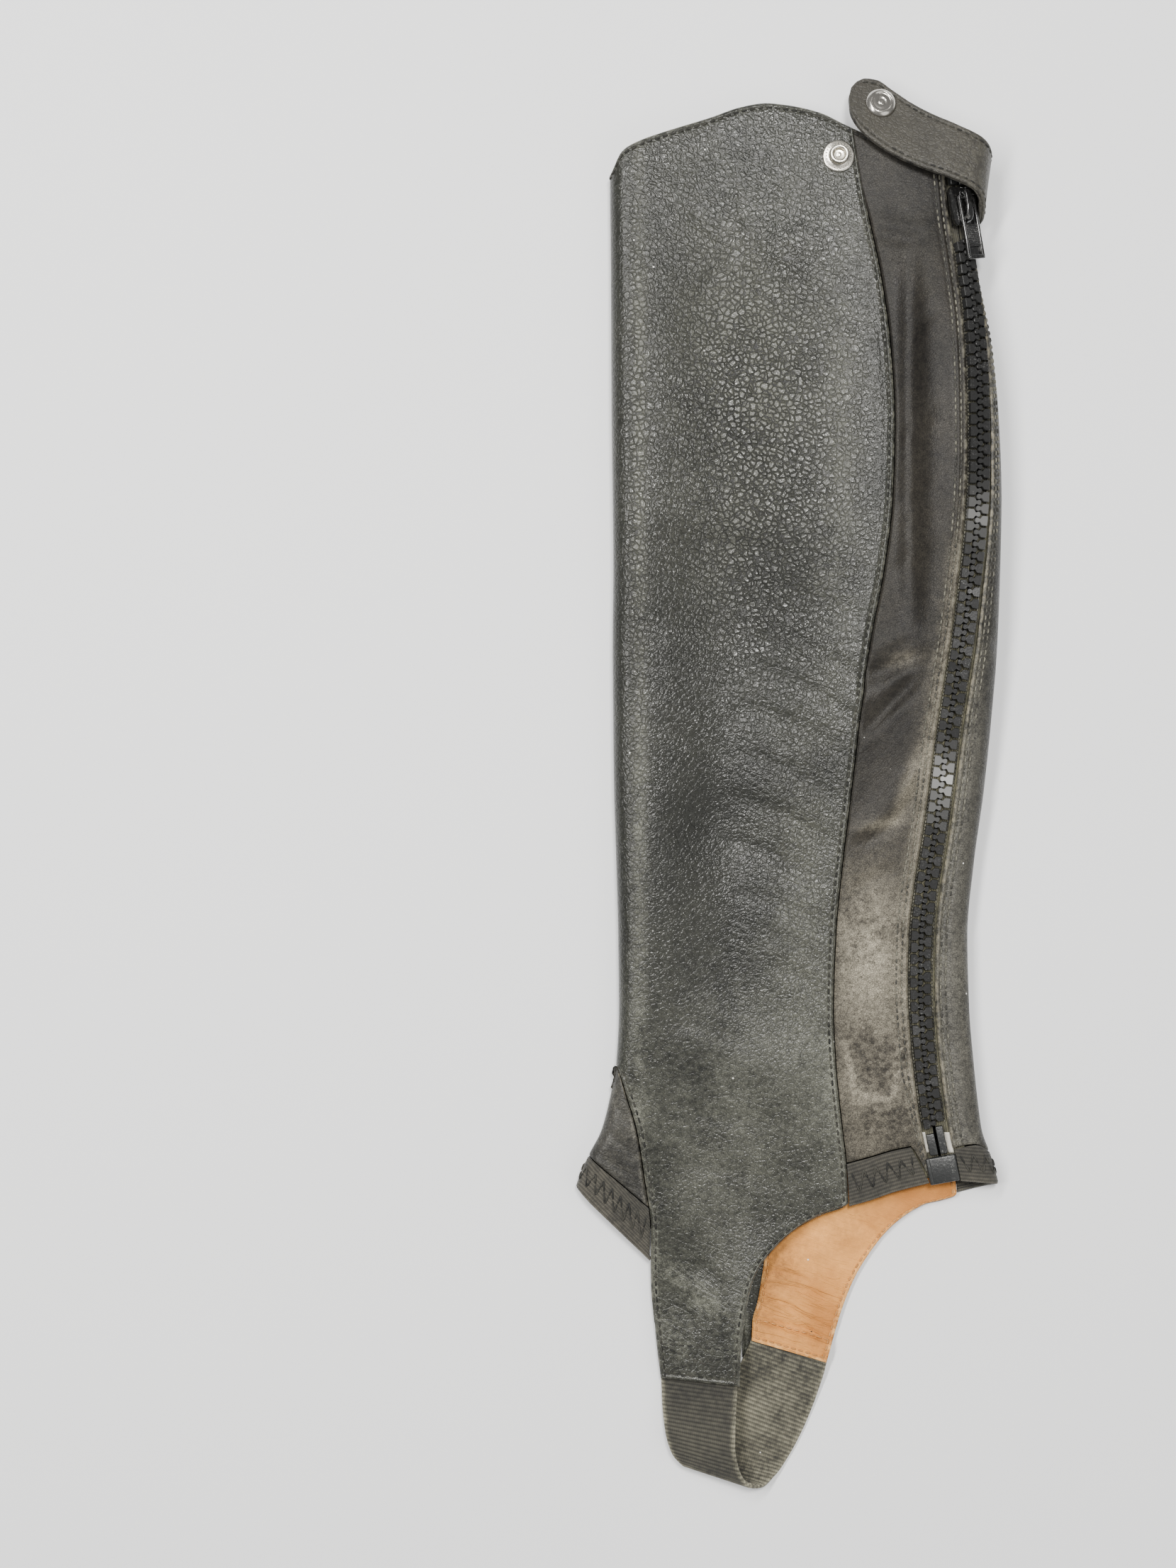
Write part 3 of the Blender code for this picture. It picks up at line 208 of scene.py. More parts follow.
# Smaller creases of each panel, placed from the photo.
MAIN_CREASES = table(
    Crease, (57, 381, 30, 398, 2, -0.5, 2.6), (57, 381, 84, 392, -2, -0.45, 2.4),
    (57, 381, 88, 366, 2, -0.55, 2.8), (57, 381, 34, 362, -2, -0.5, 2.4), (57, 381, 60, 352, 1, -0.4, 2.2),
    (57, 381, 52, 408, 1, -0.35, 2.2), (60, 226, 104, 200, 3, -0.7, 3.6), (52, 212, 101, 186, 3, -0.6, 3),
    (64, 243, 108, 226, 2, -0.55, 3.4), (48, 194, 98, 170, 4, -0.65, 3.4), (50, 176, 95, 152, 3, -0.5, 3),
    (46, 158, 93, 134, 3, -0.6, 3.6), (42, 140, 91, 118, 3, -0.45, 3), (50, 120, 90, 100, 2, -0.55, 3.2),
    (58, 104, 89, 86, 2, -0.4, 2.8), (62, 90, 90, 72, 2, -0.5, 3), (20, 268, 70, 258, -3, -0.5, 4),
    (16, 232, 66, 216, 3, -0.45, 3.8), (14, 188, 50, 170, 2, -0.35, 3.4), (18, 66, 60, 52, 3, -0.4, 4),
    (20, 32, 70, 24, -3, -0.35, 4), (24, 6, 72, -4, 3, -0.3, 3.4), (24, -38, 46, -56, 1.5, 0.5, 2.4),
    (20, -44, 36, -64, 1, -0.5, 2.4), (32, -34, 50, -48, 1.5, -0.45, 2.6), (14, 410, 60, 424, 2, -0.3, 4),
)
STRETCH_CREASES = table(
    Crease, (104, 388, 128, 384, -1.5, -0.6, 2.2), (106, 392, 130, 389, -1, 0.35, 2.4),
    (98, 141, 123, 172, -6, 0.9, 2), (98, 137, 124, 166, -6, -0.7, 2.6), (106, 216, 126, 226, 1, 0.6, 2.6),
    (103, 196, 124, 214, 1.5, -0.6, 2.4), (102, 176, 122, 196, 1.5, 0.5, 2.6),
    (118, 300, 132, 316, 1, -0.5, 2.6), (116, 270, 134, 286, 1, 0.4, 3), (112, 246, 132, 262, 1, -0.5, 2.8),
    (95, 116, 118, 128, 1, -0.4, 3), (96, 60, 108, 36, -3, -0.3, 2), (108, 34, 117, 52, -3, -0.3, 1.8),
    (94, 92, 116, 78, 2, 0.35, 3.4), (120, 344, 134, 356, 1, -0.4, 2.6),
)
BACK_CREASES = table(
    Crease, (146, 232, 158, 214, 1, -0.5, 2.4), (140, 176, 154, 160, 1, -0.45, 2.4),
    (134, 112, 146, 100, 1, -0.4, 2.2), (132, 60, 146, 50, 1, -0.35, 2.2),
    (152, 300, 158, 280, 1, -0.35, 2.2),
)
UNDER_CREASES = table(
    Crease, (20, 330, 90, 305, 4, -0.6, 4), (30, 250, 110, 235, -3, -0.7, 4.5),
    (40, 190, 104, 160, 4, -0.6, 3.6), (28, 120, 90, 100, 3, -0.5, 4), (36, 60, 110, 44, -3, -0.5, 4),
    (60, -20, 100, -36, 2, -0.5, 3),
)
LINING_CREASES = table(
    Crease, (62, -38, 82, -44, 1.5, -0.45, 1.2), (64, -44, 92, -52, 2, -0.5, 1.4),
    (62, -50, 78, -56, 1, -0.4, 1.1), (70, -48, 94, -60, -2, 0.4, 1.4), (60, -59, 86, -66, 1, -0.5, 1.2),
    (74, -60, 90, -70, 1.5, -0.35, 1.1), (66, -30, 76, -40, 1, 0.35, 1.4),
    (96, -16, 112, -26, 1, -0.3, 1.8),
)
GUSSET_CREASES = table(
    Crease, (-6, 22, 10, 8, 1, -0.45, 1.8), (-9, 12, 8, 0, 1, -0.35, 1.6), (-2, 34, 6, 22, 0.5, -0.35, 1.6),
)


class Blob(NamedTuple):
    """A soft oval patch of colour, turned by turn degrees."""

    x: float
    y: float
    across: float
    along: float
    turn: float
    amount: float


# Pale dust patches, and painted highlights: the calf's broad sheen near (54, 320) and the shin roll's
# bright ridge at x = 10.5.
MAIN_DUST_AND_HIGHLIGHTS = table(
    Blob, (50, 20, 60, 60, 0, 0.42), (34, -46, 18, 4, -38, 1), (24, -64, 5, 14, 30, 0.7),
    (34, -60, 22, 30, 0, 0.3), (54, 320, 30, 66, 0, 0.44), (60, 410, 50, 26, 0, 0.1),
    (92, 290, 9, 90, 0, 0.3), (78, 110, 14, 60, 0, 0.32), (10.5, 300, 3, 150, 0, 0.5),
    (10.5, 100, 3, 90, 0, 0.5), (90, 30, 8, 40, 0, 0.3),
)
# Where the main panel's pebbles are coarse, and where fine creases cross it.
MAIN_PEBBLES = table(
    Blob, (56, 320, 34, 66, 0, 1), (60, 240, 34, 40, 0, 0.6), (78, 130, 14, 60, 0, 0.35),
    (9, 260, 5, 150, 0, 0.6),
)
MAIN_LINES = table(
    Blob, (78, 150, 22, 70, 0, 0.4), (70, 225, 36, 30, 0, 0.25), (36, -46, 20, 20, 0, 0.4),
    (57, 381, 26, 26, 0, 0.35),
)
# Dust patches and scuff arcs, and painted highlights on the crescent ridge near (115, 150) and on the fold
# near (119, 213).
STRETCH_DUST_AND_HIGHLIGHTS = table(
    Blob, (104, 100, 14, 22, 0, 0.75), (106, 62, 20, 40, 0, 0.5), (112, 26, 24, 22, 0, 0.3),
    (97, 46, 1.3, 12, 14, 0.9), (106.5, 34, 7, 1.3, -14, 1), (115.5, 44, 1.2, 11, -8, 1),
    (120, 160, 3, 16, -20, 0.4), (110, 146, 9, 2, 12, 0.4), (134, 200, 6, 60, -8, 0.3),
    (119, 213, 6, 3, 10, 0.3),
)
BACK_DUST = table(
    Blob, (140, 60, 14, 70, 0, 0.5), (146, 180, 8, 60, -8, 0.35), (152, 300, 6, 80, 0, 0.1),
    (148, 10, 14, 14, 0, 0.4),
)
GUSSET_DUST = table(Blob, (4, 16, 12, 26, 0, 0.25), (-1, 36, 4, 8, 0, 0.3))
LINING_DUST = table(
    Blob, (68, -36, 10, 10, 0, 0.6), (62, -56, 6, 12, 0, 0.5), (92, -22, 30, 14, 20, 0.3),
    (84, -66, 14, 8, 0, 0.35),
)


class Side(Enum):
    """An edge of a woven grid."""

    LEFT = "first column"
    RIGHT = "last column"
    LOW = "first row"
    HIGH = "last row"


def smooth_step(value: Array | float) -> Array:
    """Rises from 0 to 1 with level ends."""
    t = np.clip(value, 0.0, 1.0)
    return t * t * (3.0 - 2.0 * t)


def bell(value: Array, width: float, middle: float = 0.0) -> Array:
    """A smooth bump of height 1 about a middle, all but gone two widths away."""
    return np.exp(-(((value - middle) / width) ** 2))


def unit(vectors: Array) -> Array:
    """The same directions with length 1."""
    return vectors / np.maximum(np.linalg.norm(vectors, axis=-1, keepdims=True), 1e-9)


def lengths_along(points: Array) -> Array:
    """The length along a line from its start to each of its points."""
    return np.concatenate([[0.0], np.cumsum(np.linalg.norm(np.diff(points, axis=0), axis=1))])


def read_along(places: Array, values: Array, place: Array | float) -> Array:
    """Rows of three values, read at places between those where they stand."""
    return np.stack([np.interp(place, places, values[:, k]) for k in range(3)], axis=-1)


class Curve:
    """A smooth function through values at rising places, level past both ends."""

    def __init__(self, places: Sequence[float], values: Sequence[float]) -> None:
        """Works out slopes that never let the curve swing past its values.

        Args:
            places: Where the values stand, rising.
            values: What the curve passes through.
        """
        self.places = np.asarray(places, float)
        self.values = np.asarray(values, float)
        self.steps = np.diff(self.places)
        slopes = np.diff(self.values) / self.steps
        before = slopes[:-1]
        after = slopes[1:]
        turning = before * after <= 0.0
        both = np.where(turning, 1.0, before + after)
        inner = np.where(turning, 0.0, 2.0 * before * after / both)
        self.tangents = np.concatenate([slopes[:1], inner, slopes[-1:]])

    def __call__(self, place: Array | float) -> Array:
        """The curve's value at any place."""
        place = np.clip(place, self.places[0], self.places[-1])
        i = np.clip(np.searchsorted(self.places, place, side="right") - 1, 0, len(self.steps) - 1)
        step = self.steps[i]
        t = (place - self.places[i]) / step
        start = self.values[i] * (1 + 2 * t) + self.tangents[i] * step * t
        end = self.values[i + 1] * (3 - 2 * t) + self.tangents[i + 1] * step * (t - 1)
        return start * (1 - t) ** 2 + end * t * t


def y_to_x(spots: Sequence[Spot]) -> Curve:
    """The smooth x of a table of spots at any y."""
    return Curve([spot.y for spot in spots], [spot.x for spot in spots])


def x_to_y(spots: Sequence[Spot]) -> Curve:
    """The smooth y of a table of spots at any x."""
    return Curve([spot.x for spot in spots], [spot.y for spot in spots])


def outline(spots: Sequence[Spot]) -> Callable[[Array], Array]:
    """A smooth curve in plan through spots.

    Args:
        spots: The points that it passes, in order.

    Returns:
        A function from shares of its length to points in plan.
    """
    points = np.array([tuple(spot) for spot in spots])
    lengths = np.concatenate([[0.0], np.cumsum(np.hypot(*np.diff(points, axis=0).T))])
    along_x = Curve(lengths / lengths[-1], points[:, 0])
    along_y = Curve(lengths / lengths[-1], points[:, 1])
    return lambda share: np.stack([along_x(share), along_y(share)], axis=-1)


def places_by(crease: Crease, x: Array, y: Array) -> tuple[Array, Array]:
    """Shares of the way along a crease, and millimetres beside its straight line."""
    run_x = crease.x1 - crease.x0
    run_y = crease.y1 - crease.y0
    span = math.hypot(run_x, run_y)
    along = ((x - crease.x0) * run_x + (y - crease.y0) * run_y) / (span * span)
    return along, ((y - crease.y0) * run_x - (x - crease.x0) * run_y) / span


def fold_relief(x: Array, y: Array) -> Array:
    """What the large soft folds add to the front's height."""
    total = np.zeros(np.broadcast(x, y).shape)
    for fold in FOLDS:
        along, across = places_by(fold, x, y)
        start = smooth_step((along + FOLD_FADE) / (2.0 * FOLD_FADE))
        end = smooth_step((1.0 + FOLD_FADE - along) / (2.0 * FOLD_FADE))
        total += fold.height * start * end * np.exp(-2.0 * (across / fold.width) ** 2)
    return total


def crease_relief(creases: Sequence[Crease], x: Array, y: Array) -> Array:
    """Heights that bowed troughs and ridges add at points in plan."""
    total = np.zeros(np.shape(x))
    for crease in creases:
        along, across = places_by(crease, x, y)
        across = across - crease.bend * 4.0 * along * (1.0 - along)
        fade = np.clip(1.0 - np.abs(2.0 * along - 1.0) ** 3, 0.0, 1.0)
        total += crease.height * fade * bell(across, crease.width)
    return total


def blob_mask(blobs: Sequence[Blob], x: Array, y: Array) -> Array:
    """The share that soft patches cover at points in plan, 0 to 1."""
    total = np.zeros(np.shape(x))
    for blob in blobs:
        turn = math.radians(blob.turn)
        u = (x - blob.x) * math.cos(turn) + (y - blob.y) * math.sin(turn)
        v = (y - blob.y) * math.cos(turn) - (x - blob.x) * math.sin(turn)
        total += blob.amount * np.exp(-((u / blob.across) ** 2) - (v / blob.along) ** 2)
    return np.clip(total, 0.0, 1.0)


@dataclass
class Skin:
    """The flattened tube's outer skin, as tables of points by height and distance round it.

    Distances below 0 run under the shin fold along the inner side, and distances above 0 run
    over the front, round the back fold and back along the inner side.
    """

    y_low: float = -50.0
    y_high: float = 452.0
    far_under: float = -190.0
    far_round: float = 400.0
    pitch: float = 0.5
    x_low: float = -20.0
    x_high: float = 165.0
    arc_points: int = 26
    flat_points: int = 150

    def __post_init__(self) -> None:
        """Traces the ring at every whole height and lays its points out in tables."""
        self.columns = [
            Curve([row.y for row in SECTIONS], [getattr(row, name) for row in SECTIONS])
            for name in Section._fields[1:]
        ]
        heights = np.arange(self.y_low, self.y_high + 1.0)
        distances = np.arange(self.far_under, self.far_round, self.pitch)
        across = np.arange(self.x_low, self.x_high, self.pitch)
        self.table_x = np.zeros((len(heights), len(distances)))
        self.table_z = np.zeros_like(self.table_x)
        self.table_front = np.zeros((len(heights), len(across)))
        self.table_under = np.zeros_like(self.table_front)
        self.table_behind = np.zeros_like(self.table_front)
        for k, y in enumerate(heights):
            path, steps, count = self.ring(float(y))
            self.table_x[k] = np.interp(distances, steps, path[:, 0])
            self.table_z[k] = np.interp(distances, steps, path[:, 1])
            under = slice(0, count)
            front = slice(count - 1, 2 * count - 1)
            behind = slice(2 * count - 2, None)
            self.table_front[k] = np.interp(across, path[front, 0], steps[front])
            self.table_under[k] = np.interp(-across, -path[under, 0], steps[under])
            self.table_behind[k] = np.interp(-across, -path[behind, 0], steps[behind])

    def section(self, y: Array | float) -> Section:
        """The tube's section at any height."""
        return Section(y, *(column(y) for column in self.columns))

    def ring(self, y: float) -> tuple[Array, Array, int]:
        """The skin's path at one height.

        Args:
            y: Height in millimetres.

        Returns:
            Its points in x and z, their distance from the shin fold, and how many points
            each side has.
        """
        here = self.section(y)
        turn = np.linspace(0.0, math.pi / 2.0, self.arc_points)
        shin = here.shin_x + here.shin_roll * (1.0 - np.cos(turn))
        back = here.back_x - here.back_roll * (1.0 - np.cos(turn[::-1]))
        flat = np.linspace(shin[-1], back[0], self.flat_points)[1:-1]
        x = np.concatenate([shin, flat, back])
        front = np.stack([x, self.front_height(x, y)], axis=1)
        rear = np.stack([x, self.rear_height(x, y)], axis=1)
        path = np.concatenate([rear[:0:-1], front, rear[-2:0:-1]])
        steps = np.concatenate([[0.0], np.cumsum(np.hypot(*np.diff(path, axis=0).T))])
        return path, steps - steps[len(x) - 1], len(x)

    @staticmethod
    def quarter(inset: Array, roll: Array) -> Array:
        """How far up its quarter turn a roll is at an inset from its fold line, 0 to 1."""
        reach = np.clip(1.0 - inset / roll, 0.0, 1.0)
        return np.sqrt(1.0 - reach * reach)

    def front_height(self, x: Array, y: Array | float) -> Array:
        """Height of the outer skin of the side that faces up.

        Args:
            x: Places across the leg.
            y: Heights along the leg.

        Returns:
            Millimetres above the floor.
        """
        here = self.section(y)
        from_shin = x - here.shin_x
        from_back = here.back_x - x
        shin_reach = from_shin - here.shin_roll
        back_reach = from_back - here.back_roll
        height = here.middle
        height = height + (here.shin_top - here.middle) * (1.0 - smooth_step(shin_reach / SHIN_FALL))
        height = height + (here.back_top - here.middle) * (1.0 - smooth_step(back_reach / BACK_FALL))
        height = height + fold_relief(x, y) * smooth_step(np.minimum(shin_reach, back_reach) / ROLL_CLEAR)
        shin = here.shin_top / 2.0 * (1.0 + self.quarter(from_shin, here.shin_roll))
        back = here.back_top / 2.0 * (1.0 + self.quarter(from_back, here.back_roll))
        height = np.where(shin_reach < 0.0, shin, np.where(back_reach < 0.0, back, height))
        tongue = TONGUE_LOW + TONGUE_RISE * np.clip((x - TONGUE_START_X) / TONGUE_RUN, 0.0, 1.0)
        return height + (tongue - height) * smooth_step((TONGUE_TOP - np.asarray(y)) / TONGUE_BLEND)

    def rear_height(self, x: Array, y: Array | float) -> Array:
        """Height of the outer skin of the side that faces down."""
        here = self.section(y)
        lift = STRAP_LIFT * smooth_step((x - STRAP_LIFT_X) / STRAP_LIFT_RUN)
        lift = lift * smooth_step((np.asarray(y) - STRAP_LIFT_Y) / STRAP_LIFT_RUN)
        from_shin = x - here.shin_x
        from_back = here.back_x - x
        shin = here.shin_top / 2.0 * (1.0 - self.quarter(from_shin, here.shin_roll))
        back = lift + (here.back_top / 2.0 - lift) * (1.0 - self.quarter(from_back, here.back_roll))
        return np.where(
            from_shin < here.shin_roll, shin, np.where(from_back < here.back_roll, back, lift)
        )

    def read(self, table: Array, y: Array, place: Array, low: float) -> Array:
        """A table's value between its rows and columns.

        Args:
            table: One row for each whole height.
            y: Heights.
            place: Places along the table's rows.
            low: The place of its first column.

        Returns:
            The values, of the shape of y and place together.
        """
        y, place = np.broadcast_arrays(np.asarray(y, float), np.asarray(place, float))
        row = np.clip(y - self.y_low, 0.0, table.shape[0] - 1.001)
        column = np.clip((place - low) / self.pitch, 0.0, table.shape[1] - 1.001)
        i = row.astype(int)
        j = column.astype(int)
        f = row - i
        g = column - j
        upper = table[i + 1, j] * (1.0 - g) + table[i + 1, j + 1] * g
        return (table[i, j] * (1.0 - g) + table[i, j + 1] * g) * (1.0 - f) + upper * f

    def point(self, y: Array, distance: Array) -> Array:
        """Points of the skin at heights and distances."""
        y, distance = np.broadcast_arrays(np.asarray(y, float), np.asarray(distance, float))
        x = self.read(self.table_x, y, distance, self.far_under)
        z = self.read(self.table_z, y, distance, self.far_under)
        return np.stack([x, y, z], axis=-1)

    def normal(self, y: Array, distance: Array) -> Array:
        """Directions out of the skin."""
        around = self.point(y, distance + 0.8) - self.point(y, distance - 0.8)
        along = self.point(y + 1.0, distance) - self.point(y - 1.0, distance)
        return unit(np.cross(around, along))

    def front(self, y: Array, x: Array) -> Array:
        """Distance of the front's point at x."""
        return self.read(self.table_front, y, x, self.x_low)

    def under(self, y: Array, x: Array) -> Array:
        """Distance of the inner side's point at x, reached under the shin fold."""
        return self.read(self.table_under, y, x, self.x_low)

    def behind(self, y: Array, x: Array) -> Array:
        """Distance of the inner side's point at x, reached round the back fold."""
        return self.read(self.table_behind, y, x, self.x_low)


SKIN = Skin()
main_seam_x = y_to_x(MAIN_SEAM)
zip_x = y_to_x(ZIP_LINE)
outer_top_y = x_to_y(OUTER_TOP)
inner_top_y = x_to_y(INNER_TOP)


def rear_seam_x(y: Array) -> Array:
    """Where the rear seam crosses the inner side at height y."""
    return SKIN.section(y).back_x - REAR_SEAM_INSET


def zip_distance(y: Array) -> Array:
    """Distance of the middle of the zip at height y."""
    return SKIN.front(y, zip_x(y))


def fan(y: Array, turn: float, edge: float, hem: Array) -> Array:
    """Heights of rows that spread from a straight one at turn to a curved hem at edge."""
    share = (y - turn) / (edge - turn)
    return np.where(share > 0.0, turn + (hem - turn) * share, y)


def edged_shares(count: int, span: float, near: bool = True, far: bool = True) -> Array:
    """Even shares from 0 to 1 with finer ones by the ends named.

    Args:
        count: How many even steps.
        span: The run's length in millimetres.
        near: Whether its start is an edge.
        far: Whether its end is an edge.

    Returns:
        Rising shares.
    """
    fine = np.array([0.25, 0.5, 0.8, 1.1, 1.5, 1.9, 2.3, 2.8, 3.4, 4.2]) / span
    parts = [np.linspace(0.0, 1.0, count + 1)]
    if near:
        parts.append(fine)
    if far:
        parts.append(1.0 - fine)
    shares = np.unique(np.concatenate(parts).round(5))
    keep = np.concatenate([[True], np.diff(shares) > 0.12 / span])
    keep[-1] = True
    return shares[keep]


def grid_normals(points: Array) -> Array:
    """Directions out of a grid whose columns run round the leg and whose rows rise."""
    return unit(np.cross(np.gradient(points, axis=1), np.gradient(points, axis=0)))


def run_lengths(points: Array, axis: int) -> Array:
    """Length along a grid's rows (axis 1) or columns (axis 0) from their start."""
    steps = np.linalg.norm(np.diff(points, axis=axis), axis=-1)
    start = np.zeros_like(np.take(steps, [0], axis=axis))
    return np.concatenate([start, np.cumsum(steps, axis=axis)], axis=axis)


@dataclass
class Patch:
    """A grid of points of one side of a sheet, with its normals and distances from its edges."""

    points: Array
    flipped: bool = False

    def __post_init__(self) -> None:
        """Works out normals and edge distances from the plain grid."""
        self.normals = grid_normals(self.points) * (-1.0 if self.flipped else 1.0)
        along = run_lengths(self.points, 0)
        across = run_lengths(self.points, 1)
        self.reach = {
            Side.LEFT: across,
            Side.RIGHT: across[:, -1:] - across,
            Side.LOW: along,
            Side.HIGH: along[-1:] - along,
        }

    @property
    def x(self) -> Array:
        """The points' x."""
        return self.points[..., 0]

    @property
    def y(self) -> Array:
        """The points' y."""
        return self.points[..., 1]

    def edge(self, *sides: Side) -> Array:
        """Distance to the nearest of some sides."""
        return np.minimum.reduce([self.reach[side] for side in sides])

    def raised(self, relief: Array) -> Array:
        """The grid moved out along its normals."""
        return self.points + self.normals * relief[..., None]

    def at(self, row: Array, column: Array) -> tuple[Array, Array]:
        """Points and normals at places between the grid's rows and columns."""
        i = np.clip(row.astype(int), 0, self.points.shape[0] - 2)
        j = np.clip(column.astype(int), 0, self.points.shape[1] - 2)
        f = (row - i)[:, None]
        g = (column - j)[:, None]
        blended = []
        for grid in (self.points, self.normals):
            low = grid[i, j] * (1.0 - g) + grid[i, j + 1] * g
            high = grid[i + 1, j] * (1.0 - g) + grid[i + 1, j + 1] * g
            blended.append(low * (1.0 - f) + high * f)
        return blended[0], blended[1]

    def line(self, side: Side, inset: float) -> tuple[Array, Array]:
        """A line that runs beside one side.

        Args:
            side: The side that it follows.
            inset: Its distance from that side in millimetres.

        Returns:
            The points and the normals along it.
        """
        turned = side in (Side.LOW, Side.HIGH)
        reach = self.reach[side].T if turned else self.reach[side]
        found = []
        for grid in (self.points, self.normals):
            grid = np.swapaxes(grid, 0, 1) if turned else grid
            way = -1 if side in (Side.RIGHT, Side.HIGH) else 1
            found.append(np.array([
                read_along(steps[::way], row[::way], inset) for steps, row in zip(reach, grid)
            ]))
        return found[0], unit(found[1])


class Shell:
    """A mesh that grows grid by grid, with named values at its points."""

    def __init__(self, name: str) -> None:
        """Starts an empty shell with a piece's name."""
        self.name = name
        self.points: list[Array] = []
        self.faces: list[Array] = []
        self.values: dict[str, list[Array]] = {}
        self.count = 0

    def add(self, points: Array, values: dict[str, Array]) -> Array:
        """Adds points.

        Args:
            points: Any grid of points.
            values: A value of each point for each name.

        Returns:
            The points' numbers, in the grid's shape.
        """
        numbers = np.arange(self.count, self.count + points[..., 0].size).reshape(points.shape[:-1])
        self.points.append(points.reshape(-1, 3))
        for name, value in values.items():
            self.values.setdefault(name, []).append(np.broadcast_to(value, points.shape[:-1]).ravel())
        self.count += numbers.size
        return numbers

    def weave(self, numbers: Array, flipped: bool = False) -> None:
        """Joins a grid of numbered points with faces."""
        quads = np.stack(
            [numbers[:-1, :-1], numbers[:-1, 1:], numbers[1:, 1:], numbers[1:, :-1]], axis=-1
        ).reshape(-1, 4)
        self.faces.append(quads[:, ::-1] if flipped else quads)

    def build(self, finish: Material, thickness: float = 0.0) -> Piece:
        """Makes the object.

        Args:
            finish: Its material.
            thickness: The wall, inward, in millimetres, or 0 for a mesh that is closed already.

        Returns:
            The piece.
        """
        faces = np.concatenate(self.faces)
        piece = mesh_piece(self.name, np.concatenate(self.points), faces.tolist(), finish)
        for name, parts in self.values.items():
            keep_values(piece, name, parts)
        if thickness:
            wall = piece.modifiers.new("Wall", "SOLIDIFY")
            wall.thickness = thickness * MM
            wall.offset = -1.0
        return piece


def keep_values(piece: Piece, name: str, parts: list[Array]) -> None:
    """Keeps a named value for each point of a piece."""
    made = piece.data.attributes.new(name, "FLOAT", "POINT")
    made.data.foreach_set("value", np.concatenate(parts).astype(np.float32))


def dress(piece: Piece, slot: str, node: str | None = None, body: str = GARMENT) -> None:
    """Puts a piece on its body, in place of its solid."""
    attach(piece, body)
    if node:
        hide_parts(node)


def woven(
    name: str, patch: Patch, relief: Array | float, values: dict[str, Array | float], finish: Material,
    thickness: float,
) -> Piece:
    """Weaves a piece of one patch.

    Args:
        name: The piece's name.
        patch: Its outer side.
        relief: How far each point stands out of it.
        values: A value, or one for each point, for each name.
        finish: Its material.
        thickness: Its wall, inward.

    Returns:
        The piece.
    """
    shell = Shell(name)
    shell.weave(shell.add(patch.raised(np.asarray(relief)), values))
    return shell.build(finish, thickness)


def mesh_piece(name: str, points: Array, faces: list, finish: Material) -> Piece:
    """Makes an object from points in garment millimetres.

    Args:
        name: The piece's name.
        points: Its corners.
        faces: Lists of corner numbers.
        finish: Its material.

    Returns:
        The object, linked to the scene.
    """
    mesh = bpy.data.meshes.new(name)
    mesh.from_pydata(((points + SHIFT) * MM).tolist(), [], faces)
    mesh.shade_smooth()
    mesh.materials.append(finish)
    piece = bpy.data.objects.new(name, mesh)
    bpy.context.scene.collection.objects.link(piece)
    return piece


def turned_edge(reach: Array, depth: float = 0.55) -> Array:
    """The relief of an edge that is turned in and sewn down, by distance from the edge."""
    drop = -depth * bell(reach, 0.5)
    lip = 0.22 * bell(reach, 0.5, 1.0)
    return drop + lip - 0.26 * bell(reach, 0.45, 2.0)


def furrow(reach: Array, at: float, depth: float = 0.25) -> Array:
    """The relief of one stitch furrow at a distance from the edge."""
    return -depth * bell(reach, 0.5, at)


